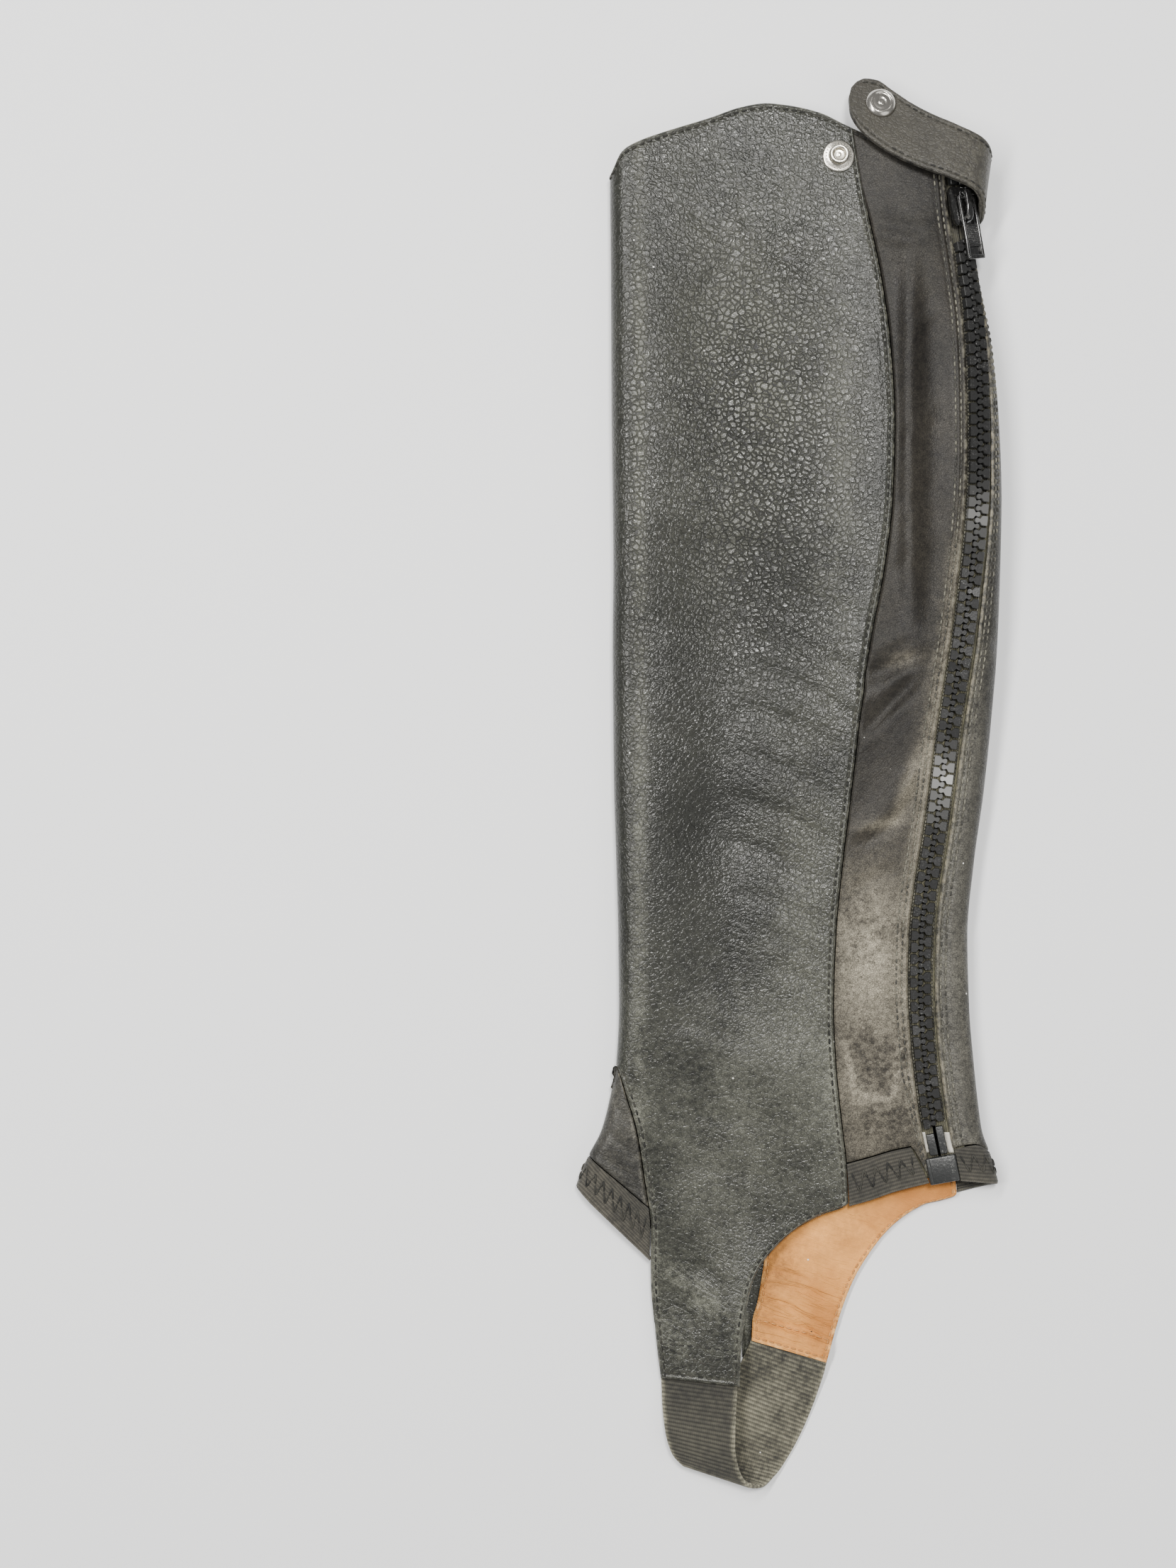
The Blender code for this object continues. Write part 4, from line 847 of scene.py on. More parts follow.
class Graph:
    """Adds nodes to one node tree and joins their sockets."""

    def __init__(self, tree: bpy.types.NodeTree) -> None:
        """Works on a tree."""
        self.tree = tree

    def feed(self, node: bpy.types.Node, inputs: dict) -> None:
        """Joins sockets to a node's inputs, or sets the inputs' own values."""
        for key, value in inputs.items():
            if isinstance(value, Socket):
                self.tree.links.new(value, node.inputs[key])
            else:
                node.inputs[key].default_value = value

    def add(self, kind: str, inputs: dict | None = None, **settings: object) -> bpy.types.Node:
        """Adds a node.

        Args:
            kind: Blender's name for the node.
            inputs: Values or sockets for its inputs, by name or number.
            **settings: Its own properties.

        Returns:
            The node.
        """
        node = self.tree.nodes.new(kind)
        for name, value in settings.items():
            setattr(node, name, value)
        self.feed(node, inputs or {})
        return node

    def maths(self, operation: str, a: Fed, b: Fed = 0.0, clamp: bool = False) -> Socket:
        """One sum of two values."""
        return self.add("ShaderNodeMath", {0: a, 1: b}, operation=operation, use_clamp=clamp).outputs[0]

    def times(self, a: Fed, b: Fed, clamp: bool = False) -> Socket:
        """Two values multiplied."""
        return self.maths("MULTIPLY", a, b, clamp)

    def plus(self, a: Fed, b: Fed, clamp: bool = False) -> Socket:
        """Two values added."""
        return self.maths("ADD", a, b, clamp)

    def vector(self, operation: str, a: Fed, b: Fed) -> Socket:
        """One sum of two vectors."""
        return self.add("ShaderNodeVectorMath", {0: a, 1: b}, operation=operation).outputs[0]

    def mix(self, share: Fed, a: Fed, b: Fed) -> Socket:
        """One colour blended into another, each a socket or its red, green and blue."""
        a, b = (part if isinstance(part, Socket) else (*part, 1.0) for part in (a, b))
        return self.add("ShaderNodeMix", {0: share, 6: a, 7: b}, data_type="RGBA").outputs[2]

    def span(self, value: Fed, low: float, high: float, start: float = 0.0, end: float = 1.0) -> Socket:
        """A value carried smoothly from one range to another, and held at its ends."""
        inputs = {0: value, 1: low, 2: high, 3: start, 4: end}
        return self.add("ShaderNodeMapRange", inputs, interpolation_type="SMOOTHSTEP").outputs[0]

    def noise(
        self, vector: Fed, scale: Fed, detail: float = 3.0, roughness: float = 0.5, **more: float,
    ) -> bpy.types.Node:
        """A noise."""
        inputs = {"Vector": vector, "Scale": scale, "Detail": detail, "Roughness": roughness}
        return self.add("ShaderNodeTexNoise", {**inputs, **more})

    def marks(
        self, vector: Fed, scale: Fed, detail: float, roughness: float, low: float, high: float,
    ) -> Socket:
        """A noise's patches, from none at low to full at high."""
        return self.span(self.noise(vector, scale, detail, roughness).outputs["Fac"], low, high)

    def cells(self, vector: Fed, scale: Fed, feature: str = "F1") -> bpy.types.Node:
        """A cell pattern."""
        return self.add("ShaderNodeTexVoronoi", {"Vector": vector, "Scale": scale}, feature=feature)

    def bump(self, height: Fed, strength: float, distance: float) -> Socket:
        """A direction bent by a height."""
        inputs = {"Height": height, "Strength": strength, "Distance": distance}
        return self.add("ShaderNodeBump", inputs).outputs[0]

    def value(self, name: str) -> Socket:
        """A named value of the mesh."""
        return self.add("ShaderNodeAttribute", attribute_name=name).outputs["Fac"]

    def group(self, tree: bpy.types.NodeTree, **inputs: Fed) -> bpy.types.bpy_prop_collection:
        """The outputs of a shared group."""
        return self.add("ShaderNodeGroup", inputs, node_tree=tree).outputs


def new_group(name: str, inputs: Sequence[str], outputs: Sequence[str]) -> tuple:
    """Starts a shared node group.

    Args:
        name: The group's name.
        inputs: Names of its inputs. Position is a vector and the rest are plain values.
        outputs: Names of its outputs, all plain values.

    Returns:
        The tree, its graph, its input node's sockets and its output node.
    """
    tree = bpy.data.node_groups.new(name, "ShaderNodeTree")
    for way, labels in (("INPUT", inputs), ("OUTPUT", outputs)):
        for label in labels:
            kind = "NodeSocketVector" if label == "Position" else "NodeSocketFloat"
            tree.interface.new_socket(name=label, in_out=way, socket_type=kind)
    graph = Graph(tree)
    return tree, graph, graph.add("NodeGroupInput").outputs, graph.add("NodeGroupOutput")


class SurfaceGroups:
    """The effects that several finishes share, each built once."""

    def __init__(self) -> None:
        """Builds every group."""
        self.grain = self.build_grain()
        self.dust = self.build_dust()
        self.creases = self.build_creases()
        self.wear = self.build_wear()
        self.ribs = self.build_ribs()

    @staticmethod
    def build_grain() -> bpy.types.NodeTree:
        """Pebbles of leather with furrows between them, coarse where the mask says."""
        tree, graph, given, result = new_group(
            "leather_grain", ("Position", "Coarse", "Size"), ("Height", "Furrow")
        )
        place = given["Position"]
        coarse = given["Coarse"]
        warp = graph.noise(place, 240.0).outputs["Color"]
        moved = graph.vector("ADD", place, graph.vector("MULTIPLY", warp, (0.0034, 0.0026, 0.0034)))
        scale = graph.maths("DIVIDE", 1000.0, given["Size"])
        large = graph.cells(moved, graph.times(scale, 0.44), "DISTANCE_TO_EDGE").outputs["Distance"]
        small = graph.cells(moved, scale, "DISTANCE_TO_EDGE").outputs["Distance"]
        micro = graph.noise(place, 2400.0, 2.0).outputs["Fac"]
        plain = graph.maths("SUBTRACT", 1.0, coarse)
        tall = graph.plus(graph.times(graph.span(large, 0.0, 0.22), coarse), graph.times(plain, 0.8))
        height = graph.plus(graph.times(tall, 0.7), graph.times(graph.span(small, 0.0, 0.34), 0.08))
        gap = graph.times(graph.span(large, 0.09, 0.015), coarse)
        seams = graph.times(graph.span(small, 0.12, 0.0), 0.5)
        graph.feed(result, {
            "Height": graph.plus(height, graph.times(micro, 0.02)),
            "Furrow": graph.maths("MAXIMUM", gap, seams, True),
        })
        return tree

    @staticmethod
    def build_dust() -> bpy.types.NodeTree:
        """Uneven dust and a few pale specks."""
        tree, graph, given, result = new_group("dust", ("Position", "Amount"), ("Mask", "Specks"))
        place = given["Position"]
        broad = graph.marks(place, 32.0, 5.0, 0.62, 0.34, 0.66)
        fine = graph.marks(place, 420.0, 4.0, 0.65, 0.3, 0.7)
        cover = graph.plus(graph.times(broad, 0.6), graph.times(fine, 0.55))
        dots = graph.cells(place, 95.0)
        shade = graph.add("ShaderNodeSeparateColor", {0: dots.outputs["Color"]}).outputs[0]
        near = graph.span(dots.outputs["Distance"], 0.042, 0.026)
        graph.feed(result, {
            "Mask": graph.times(cover, given["Amount"], True),
            "Specks": graph.times(graph.span(shade, 0.72, 0.74), near),
        })
        return tree

    @staticmethod
    def build_creases() -> bpy.types.NodeTree:
        """Fine creases that run one way across a piece."""
        tree, graph, given, result = new_group("fine_creases", ("Position", "Angle", "Size"), ("Height",))
        inputs = {"Vector": given["Position"], "Angle": given["Angle"]}
        turned = graph.add("ShaderNodeVectorRotate", inputs, rotation_type="Z_AXIS").outputs[0]
        drawn = graph.vector("MULTIPLY", turned, (0.16, 1.0, 1.0))
        scale = graph.maths("DIVIDE", 1000.0, given["Size"])
        wave = graph.noise(drawn, scale, 3.0, 0.55, Distortion=0.6).outputs["Fac"]
        ridge = graph.maths("ABSOLUTE", graph.maths("SUBTRACT", wave, 0.5))
        graph.feed(result, {"Height": graph.span(ridge, 0.0, 0.11)})
        return tree

    @staticmethod
    def build_wear() -> bpy.types.NodeTree:
        """Rubbed edges, broken up unevenly."""
        tree, graph, given, result = new_group("edge_wear", ("Position", "Edge", "Width"), ("Mask",))
        near = graph.span(graph.maths("DIVIDE", given["Edge"], given["Width"]), 1.0, 0.2)
        broken = graph.marks(given["Position"], 300.0, 4.0, 0.65, 0.42, 0.68)
        graph.feed(result, {"Mask": graph.times(near, broken, True)})
        return tree

    @staticmethod
    def build_ribs() -> bpy.types.NodeTree:
        """Ribs of woven elastic or tape, with threads that cross them."""
        tree, graph, given, result = new_group(
            "woven_ribs", ("Along", "Across", "Rib", "Thread"), ("Height",)
        )
        turn = graph.times(graph.maths("DIVIDE", given["Across"], given["Rib"]), math.tau)
        rib = graph.times(graph.maths("SINE", turn), 0.35)
        cross = graph.times(graph.maths("DIVIDE", given["Along"], given["Thread"]), math.tau)
        thread = graph.times(graph.maths("SINE", graph.plus(cross, graph.times(turn, 0.5))), 0.15)
        graph.feed(result, {"Height": graph.plus(graph.plus(rib, thread), 0.5)})
        return tree


GROUPS = SurfaceGroups()


def new_material(name: str) -> tuple[Material, Graph, bpy.types.Node]:
    """Starts a material.

    Args:
        name: Its name.

    Returns:
        The material, its graph and its Principled shader.
    """
    made = bpy.data.materials.new(name)
    made.use_nodes = True
    return made, Graph(made.node_tree), made.node_tree.nodes["Principled BSDF"]


@dataclass(frozen=True)
class Finish:
    """A material whose kind says how its shader is fed."""

    name: str

    def build(self) -> Material:
        """Makes the material."""
        made, graph, shader = new_material(self.name)
        place = graph.add("ShaderNodeTexCoord").outputs["Object"]
        graph.feed(shader, self.shade(graph, place))
        return made

    def shade(self, graph: Graph, place: Socket) -> dict:
        """Works out what the shader is fed.

        Args:
            graph: The material's graph.
            place: The place on the piece, in metres.

        Returns:
            Values or sockets for the shader's inputs, by name.
        """
        raise NotImplementedError


@dataclass(frozen=True)
class LeatherFinish(Finish):
    """Grained leather with dust, painted shade in its grain furrows, fine creases and rubbed edges."""

    dark: Colour
    light: Colour
    dust: Colour
    worn: Colour
    grain: float = 1.0
    depth: float = 0.55
    crease_angle: float = 0.5
    crease_size: float = 5.0
    roughness: float = 0.5
    wear_width: float = 2.0
    # How strongly painted shade darkens the grain's furrows.
    furrow: float = 0.9
    sheen: float = 0.02
    gloss: float = 0.29

    def shade(self, graph: Graph, place: Socket) -> dict:
        """Grain, dust kept out of the furrows, painted shade in the furrows, creases and worn edges."""
        grain = graph.group(GROUPS.grain, Position=place, Coarse=graph.value("pebble"), Size=self.grain)
        dust = graph.group(GROUPS.dust, Position=place, Amount=graph.value("dust"))
        lines = graph.group(GROUPS.creases, Position=place, Angle=self.crease_angle, Size=self.crease_size)
        wear = graph.group(GROUPS.wear, Position=place, Edge=graph.value("edge"), Width=self.wear_width)
        tone = graph.marks(place, 22.0, 4.0, 0.6, 0.3, 0.7)
        # Dust is kept out of the grain's furrows, so their painted shade stays dark.
        held = graph.maths("SUBTRACT", 1.0, graph.times(grain["Furrow"], 0.9))
        cover = graph.times(dust["Mask"], held)
        colour = graph.mix(cover, graph.mix(tone, self.dark, self.light), self.dust)
        # Painted shade: the furrows between the pebbles are darkened in the colour.
        furrow = graph.times(grain["Furrow"], self.furrow)
        colour = graph.mix(furrow, colour, tuple(0.12 * part for part in self.dark))
        colour = graph.mix(wear["Mask"], colour, self.worn)
        rough = graph.plus(graph.times(cover, 0.2), self.roughness)
        rough = graph.plus(rough, graph.times(grain["Furrow"], 0.3))
        uneven = graph.times(graph.maths("SUBTRACT", 0.5, tone), 0.1)
        creased = graph.times(lines["Height"], graph.value("crease"))
        height = graph.plus(grain["Height"], graph.times(creased, 0.6))
        return {
            "Base Color": graph.mix(dust["Specks"], colour, (0.75, 0.74, 0.7)),
            "Roughness": graph.plus(rough, uneven),
            "Normal": graph.bump(height, self.depth, 0.0005),
            "Specular IOR Level": self.gloss,
            "Sheen Weight": self.sheen,
        }


@dataclass(frozen=True)
class ElasticFinish(Finish):
    """Ribbed elastic or woven tape with painted shade in its rib grooves, dusty and worn pale where the
    mask says.
    """

    dark: Colour
    worn: Colour
    rib: float
    thread: float
    depth: float = 0.7

    def shade(self, graph: Graph, place: Socket) -> dict:
        """Ribs with painted shade in their grooves, rubbed pale on their tops."""
        ribs = graph.group(
            GROUPS.ribs, Along=graph.value("along"), Across=graph.value("across"), Rib=self.rib,
            Thread=self.thread,
        )
        dust = graph.group(GROUPS.dust, Position=place, Amount=graph.value("dust"))
        height = ribs["Height"]
        rubbed = graph.times(dust["Mask"], graph.span(height, 0.1, 0.9, 0.45, 1.0))
        # Painted shade: the rib grooves get half the dark colour.
        groove = tuple(0.5 * part for part in self.dark)
        colour = graph.mix(rubbed, graph.mix(graph.span(height, 0.2, 0.8), groove, self.dark), self.worn)
        fuzz = graph.noise(place, 2600.0, 3.0, 0.7).outputs["Fac"]
        return {
            "Base Color": graph.mix(dust["Specks"], colour, (0.7, 0.69, 0.64)),
            "Normal": graph.bump(graph.plus(height, graph.times(fuzz, 0.3)), self.depth, 0.0003),
            "Roughness": 0.85,
            "Sheen Weight": 0.1,
        }


@dataclass(frozen=True)
class HardFinish(Finish):
    """Moulded plastic, enamel or plated metal with scuffs, and painted glints where a tone is given."""

    base: Colour
    scuffed_and_glint: Colour
    roughness: float
    metallic: float = 0.0
    coat: float = 0.0
    scuffs: float = 0.5
    grain: float = 900.0
    depth: float = 0.12
    gloss: float = 0.5

    def shade(self, graph: Graph, place: Socket) -> dict:
        """Scuffs in patches, and a painted glint all over where a tone is given."""
        marks = graph.marks(place, self.grain, 4.0, 0.7, 0.52, 0.72)
        broad = graph.marks(place, 90.0, 3.0, 0.6, 0.4, 0.7)
        share = graph.times(graph.times(marks, broad), self.scuffs, True)
        # Painted glint: where a tone is given, the pale colour stands in for a highlight.
        share = graph.maths("MAXIMUM", share, graph.times(graph.value("tone"), 0.9), True)
        rough = graph.noise(place, self.grain, 3.0, 0.6).outputs["Fac"]
        return {
            "Base Color": graph.mix(share, self.base, self.scuffed_and_glint),
            "Roughness": graph.plus(graph.times(marks, 0.16), self.roughness, True),
            "Normal": graph.bump(rough, self.depth, 0.0003),
            "Metallic": self.metallic,
            "Specular IOR Level": self.gloss,
            "Coat Weight": self.coat,
            "Coat Roughness": 0.12,
        }


@dataclass(frozen=True)
class ThreadFinish(Finish):
    """Sewing thread, paler where dust lies in it."""

    base: Colour
    worn: Colour

    def shade(self, graph: Graph, place: Socket) -> dict:
        """Patches of dust over a fine twist."""
        patch = graph.marks(place, 120.0, 4.0, 0.65, 0.4, 0.62)
        twist = graph.add("ShaderNodeTexWave", {"Vector": place, "Scale": 900.0, "Distortion": 2.0})
        return {
            "Base Color": graph.mix(patch, self.base, self.worn),
            "Normal": graph.bump(twist.outputs["Fac"], 0.4, 0.0001),
            "Roughness": 0.75,
            "Sheen Weight": 0.0,
        }


MAIN_LEATHER = LeatherFinish(
    "main_leather", (0.011, 0.0115, 0.01), (0.024, 0.0245, 0.021), (0.185, 0.187, 0.15),
    (0.12, 0.118, 0.095), grain=1.0, depth=0.8, crease_angle=0.5, roughness=0.2, wear_width=1.2,
).build()
STRETCH_LEATHER = LeatherFinish(
    "stretch_leather", (0.006, 0.0055, 0.0051), (0.013, 0.0117, 0.0105), (0.36, 0.325, 0.25),
    (0.16, 0.15, 0.115), grain=0.9, depth=0.5, crease_angle=-0.9, crease_size=4.0, roughness=0.4,
    gloss=0.14,
).build()
BACK_LEATHER = LeatherFinish(
    "back_leather", (0.01, 0.0098, 0.0092), (0.022, 0.0213, 0.0195), (0.2, 0.19, 0.155), (0.2, 0.18, 0.13),
    grain=1.0, depth=0.7, crease_angle=0.4, roughness=0.38, gloss=0.28,
).build()
STRAP_LEATHER = LeatherFinish(
    "strap_leather", (0.03, 0.028, 0.024), (0.052, 0.049, 0.042), (0.19, 0.18, 0.14), (0.012, 0.011, 0.01),
    grain=0.8, depth=0.6, roughness=0.4, wear_width=0.9, furrow=0.4,
).build()
TAN_LINING = LeatherFinish(
    "tan_lining", (0.5, 0.195, 0.045), (0.9, 0.41, 0.105), (0.2, 0.088, 0.032), (0.86, 0.47, 0.17),
    grain=0.6, depth=0.9, crease_angle=0.35, crease_size=3.0, roughness=0.6, furrow=0.25, sheen=0.0,
    gloss=0.2,
).build()
HEM_ELASTIC = ElasticFinish("hem_elastic", (0.016, 0.0155, 0.013), (0.16, 0.145, 0.11), 1.5, 0.8).build()
LOOP_ELASTIC = ElasticFinish(
    "loop_elastic", (0.017, 0.016, 0.013), (0.66, 0.62, 0.44), 0.75, 0.85, 0.5
).build()
TAPE = ElasticFinish("zip_tape", (0.022, 0.021, 0.018), (0.24, 0.225, 0.14), 0.9, 0.6, 0.7).build()
TEETH = HardFinish(
    "zip_teeth", (0.018, 0.018, 0.018), (0.36, 0.36, 0.35), 0.28, scuffs=0.25, grain=1400.0, gloss=0.24
).build()
MOULDED = HardFinish(
    "moulded_end", (0.016, 0.017, 0.017), (0.3, 0.3, 0.28), 0.36, coat=0.1, scuffs=1.0, depth=0.4
).build()
FILM = HardFinish("worn_film", (0.5, 0.48, 0.42), (0.08, 0.08, 0.075), 0.4, scuffs=0.7, grain=500.0).build()
ENAMEL = HardFinish(
    "black_enamel", (0.008, 0.008, 0.008), (0.24, 0.235, 0.22), 0.14, metallic=0.2, coat=0.8, scuffs=0.35
).build()
NICKEL = HardFinish("nickel", (0.66, 0.63, 0.56), (0.4, 0.38, 0.33), 0.24, metallic=1.0, scuffs=0.6).build()
CAP_NICKEL = HardFinish(
    "cap_nickel", (0.5, 0.48, 0.44), (0.22, 0.21, 0.19), 0.22, metallic=1.0, scuffs=0.6, grain=500.0
).build()
DARK_THREAD = ThreadFinish("dark_thread", (0.007, 0.007, 0.006), (0.04, 0.038, 0.03)).build()
DUSTY_THREAD = ThreadFinish("dusty_thread", (0.03, 0.029, 0.025), (0.15, 0.143, 0.112)).build()
TAN_THREAD = ThreadFinish("tan_thread", (0.4, 0.18, 0.05), (0.52, 0.25, 0.08)).build()


class Sewing:
    """Rows of stitches, each a short bead of thread that dives into the leather at its ends."""

    rings = (-1.0, -0.82, -0.4, 0.4, 0.82, 1.0)
    widths = (0.2, 0.8, 1.0, 1.0, 0.8, 0.2)
    sides = 6

    def __init__(self, name: str, finish: Material) -> None:
        """Starts an empty piece of sewing."""
        self.name = name
        self.finish = finish
        self.parts: list[Array] = []
        turn = np.arange(self.sides) * math.tau / self.sides
        ring = np.stack([np.zeros(self.sides), np.cos(turn), np.sin(turn)], axis=1)
        self.bead = np.stack([
            ring * (1.0, width, width) + (reach, 0.0, 0.0) for reach, width in zip(self.rings, self.widths)
        ])

    def row(
        self, points: Array, normals: Array, pitch: float = 3.4, share: float = 0.72,
        radius: float = 0.36, lift: float = 0.1,
    ) -> None:
        """Sews one row.

        Args:
            points: The line that it follows.
            normals: Directions out of the leather along it.
            pitch: From one stitch to the next.
            share: The part of the pitch that shows.
            radius: The thread's.
            lift: How far the thread's middle stands off the line.
        """
        steps = lengths_along(points)
        count = max(int(steps[-1] / pitch), 1)
        middles = (np.arange(count) + 0.5) * steps[-1] / count
        half = share * steps[-1] / count / 2.0
        start = read_along(steps, points, middles - half)
        end = read_along(steps, points, middles + half)
        centre = read_along(steps, points, middles)
        out = read_along(steps, normals, middles)
        along = (end - start) / 2.0
        leaning = np.sum(out * along, axis=1) / np.maximum(np.sum(along * along, axis=1), 1e-9)
        out -= along * leaning[:, None]
        out = unit(out)
        side = unit(np.cross(out, along))
        reach = self.bead[..., 0]
        dive = lift - 1.1 * radius * np.abs(reach) ** 4
        self.parts.append(
            centre[:, None, None] + along[:, None, None] * reach[None, ..., None]
            + side[:, None, None] * (self.bead[..., 1] * radius)[None, ..., None]
            + out[:, None, None] * (self.bead[..., 2] * radius + dive)[None, ..., None]
        )

    def beside(
        self, patch: Patch, side: Side, inset: float, part: slice = slice(None), **looks: float,
    ) -> None:
        """Sews a row beside one side of a patch, or beside a part of it."""
        points, normals = patch.line(side, inset)
        self.row(points[part], normals[part], **looks)

    def build(self) -> None:
        """Makes one piece of all the rows."""
        beads = np.concatenate(self.parts)
        ring_count = len(self.rings)
        size = ring_count * self.sides
        faces = []
        for ring in range(ring_count - 1):
            for side in range(self.sides):
                after = (side + 1) % self.sides
                low = ring * self.sides
                faces.append((low + side, low + after, low + self.sides + after, low + self.sides + side))
        quads = np.array(faces)
        every = (quads[None] + np.arange(len(beads))[:, None, None] * size).reshape(-1, 4)
        piece = mesh_piece(self.name, beads.reshape(-1, 3), every.tolist(), self.finish)
        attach(piece, GARMENT)
        log.info("%s: %d stitches", self.name, len(beads))


@dataclass
class MainPanel:
    """One piece of leather round the shin, with a tongue at each side of the ankle."""

    rows: int = 190
    inner_columns: int = 34
    roll_columns: int = 20
    front_columns: int = 66
    tongue_rows: int = 66
    row_inset: float = 2.0
    # The stitched box at the front tongue's end: its rows, and the ends of its cross.
    box_rows: tuple[float, float] = (2.2, 14.5)
    cross_rows: tuple[float, float] = (3.0, 13.5)
    cross_margin: float = 0.08
    flat: tuple[float, float] = (0.275, 0.525)
    flat_area: float = 0.118

    def weights(self) -> tuple[Array, int]:
        """Shares of the panel's four guide lines for each column, and the shin fold's column."""
        inner = edged_shares(self.inner_columns, 120.0, True, False)
        roll = np.linspace(0.0, 1.0, self.roll_columns + 1)
        front = edged_shares(self.front_columns, 100.0, False, True)
        rows = [(1.0 - s, s, 0.0, 0.0) for s in inner[:-1]]
        rows += [(0.0, 1.0 - s, s, 0.0) for s in roll]
        rows += [(0.0, 0.0, 1.0 - s, s) for s in front[1:]]
        return np.array(rows), len(inner) - 1 + self.roll_columns // 2

    def stations(self, y: Array, weights: Array) -> Array:
        """Distances round the leg of every column at heights y."""
        here = SKIN.section(y)
        guides = (
            SKIN.under(y, rear_seam_x(y)),
            SKIN.under(y, here.shin_x + here.shin_roll),
            SKIN.front(y, here.shin_x + here.shin_roll),
            SKIN.front(y, main_seam_x(y)),
        )
        return sum(guide * weights[:, k] for k, guide in enumerate(guides))

    def upper(self) -> tuple[Patch, int]:
        """The panel above the gusset's point, fanned out to the top hems."""
        weights, fold = self.weights()
        start = GUSSET_FOLD[0].y
        rows = start + (TOP_ROW - start) * edged_shares(self.rows, TOP_ROW - start, False, True)
        y = np.repeat(rows[:, None], len(weights), axis=1)
        distance = self.stations(y, weights)
        x = SKIN.point(y, distance)[..., 0]
        hem = np.where(distance < 0.0, inner_top_y(x), outer_top_y(x))
        y = fan(y, TOP_FAN, TOP_ROW, hem)
        return Patch(SKIN.point(y, self.stations(y, weights))), fold

    def tongue(self, first: Array, shin: Sequence[Spot], seam_x: Callable, heel: Sequence[Spot],
               height: Callable) -> Array:
        """Rows of one tongue from its top down.

        Args:
            first: The row of the upper grid that it hangs from, fold first.
            shin: Its edge by the gusset and below.
            seam_x: The seam that its other edge follows first.
            heel: The curve that the edge follows after it.
            height: The skin's height on that side.

        Returns:
            A grid of points, rows going down.
        """
        spacing = (first[:, 0] - first[0, 0]) / (first[-1, 0] - first[0, 0])
        share = edged_shares(self.tongue_rows, 130.0, False, True)[1:]
        start = GUSSET_FOLD[0].y
        down = share / SEAM_SHARE
        seam_y = start + (heel[0].y - start) * np.clip(down, 0.0, 1.0)
        on_seam = np.stack([seam_x(seam_y), seam_y], axis=1)
        on_heel = outline(heel)((share - SEAM_SHARE) / (1.0 - SEAM_SHARE))
        far = np.where((down <= 1.0)[:, None], on_seam, on_heel)
        near = outline(shin)(share)
        plan = near[:, None] + (far - near)[:, None] * spacing[None, :, None]
        z = height(plan[..., 0], plan[..., 1])
        return np.concatenate([plan, z[..., None]], axis=-1)

    def values(self, patch: Patch, edge: Array) -> dict[str, Array]:
        """The masks of one part of the panel."""
        x, y = patch.x, patch.y
        beside = bell(edge, 0.8, 2.0) * (0.3 + 0.4 * smooth_step((90.0 - y) / 80.0))
        # The dusty line of the cross seam by the front tongue's end.
        end_row = y + 67.5 + (x - 19.5) * 0.069
        beside += 0.5 * bell(end_row, 0.9)
        # The dust mask here also carries painted highlights on the calf and along the shin roll.
        dust = np.clip(0.08 + blob_mask(MAIN_DUST_AND_HIGHLIGHTS, x, y) + beside, 0.0, 1.0)
        pebble = 0.25 + 0.75 * blob_mask(MAIN_PEBBLES, x, y)
        return {"edge": edge, "pebble": pebble, "crease": 0.1 + blob_mask(MAIN_LINES, x, y), "dust": dust}

    def relief(self, patch: Patch) -> Array:
        """Creases of the side that each point is on."""
        up = smooth_step(patch.normals[..., 2] / 0.5)
        down = smooth_step(-patch.normals[..., 2] / 0.5)
        over = crease_relief(MAIN_CREASES, patch.x, patch.y) * up
        return over + crease_relief(UNDER_CREASES, patch.x, patch.y) * down

    def build(self, thread: Sewing) -> None:
        """Weaves the panel and sews its edges.

        Args:
            thread: The sewing that its rows go into.
        """
        shell = Shell("main_panel_leather")
        upper, fold = self.upper()
        edge = upper.edge(Side.LEFT, Side.RIGHT, Side.HIGH)
        relief = self.relief(upper) + turned_edge(edge)
        ridged = smooth_step((upper.y - 185.0) / 30.0) * smooth_step((372.0 - upper.y) / 30.0)
        relief += 0.4 * ridged * bell(upper.reach[Side.RIGHT], 1.1, 3.7)
        numbers = shell.add(upper.raised(relief), self.values(upper, edge))
        shell.weave(numbers)
        parts = (
            (slice(fold, None), GUSSET_FRONT_SEAM + FRONT_TONGUE_SHIN, main_seam_x, FRONT_TONGUE_HEEL,
             SKIN.front_height, False),
            (slice(fold, None, -1), GUSSET_REAR_SEAM + REAR_TONGUE_SHIN, rear_seam_x, REAR_TONGUE_HEEL,
             SKIN.rear_height, True),
        )
        tongues = []
        for across, shin, seam_x, heel, height, rear in parts:
            first = upper.points[0, across]
            rows = self.tongue(first, shin, seam_x, heel, height)
            patch = Patch(np.concatenate([first[None], rows]), flipped=not rear)
            edge = patch.edge(Side.LEFT, Side.RIGHT, Side.HIGH)
            relief = self.relief(patch) + turned_edge(edge)
            if rear:
                relief = np.minimum(relief, 0.0)
            values = {name: value[1:] for name, value in self.values(patch, edge).items()}
            lower = shell.add(patch.raised(relief)[1:], values)
            shell.weave(np.concatenate([numbers[0, across][None], lower]), flipped=not rear)
            tongues.append(patch)
        piece = shell.build(MAIN_LEATHER, LEATHER)
        self.sew(thread, upper, fold, tongues)
        dress(piece, "pebbled_leather", "main_panel")

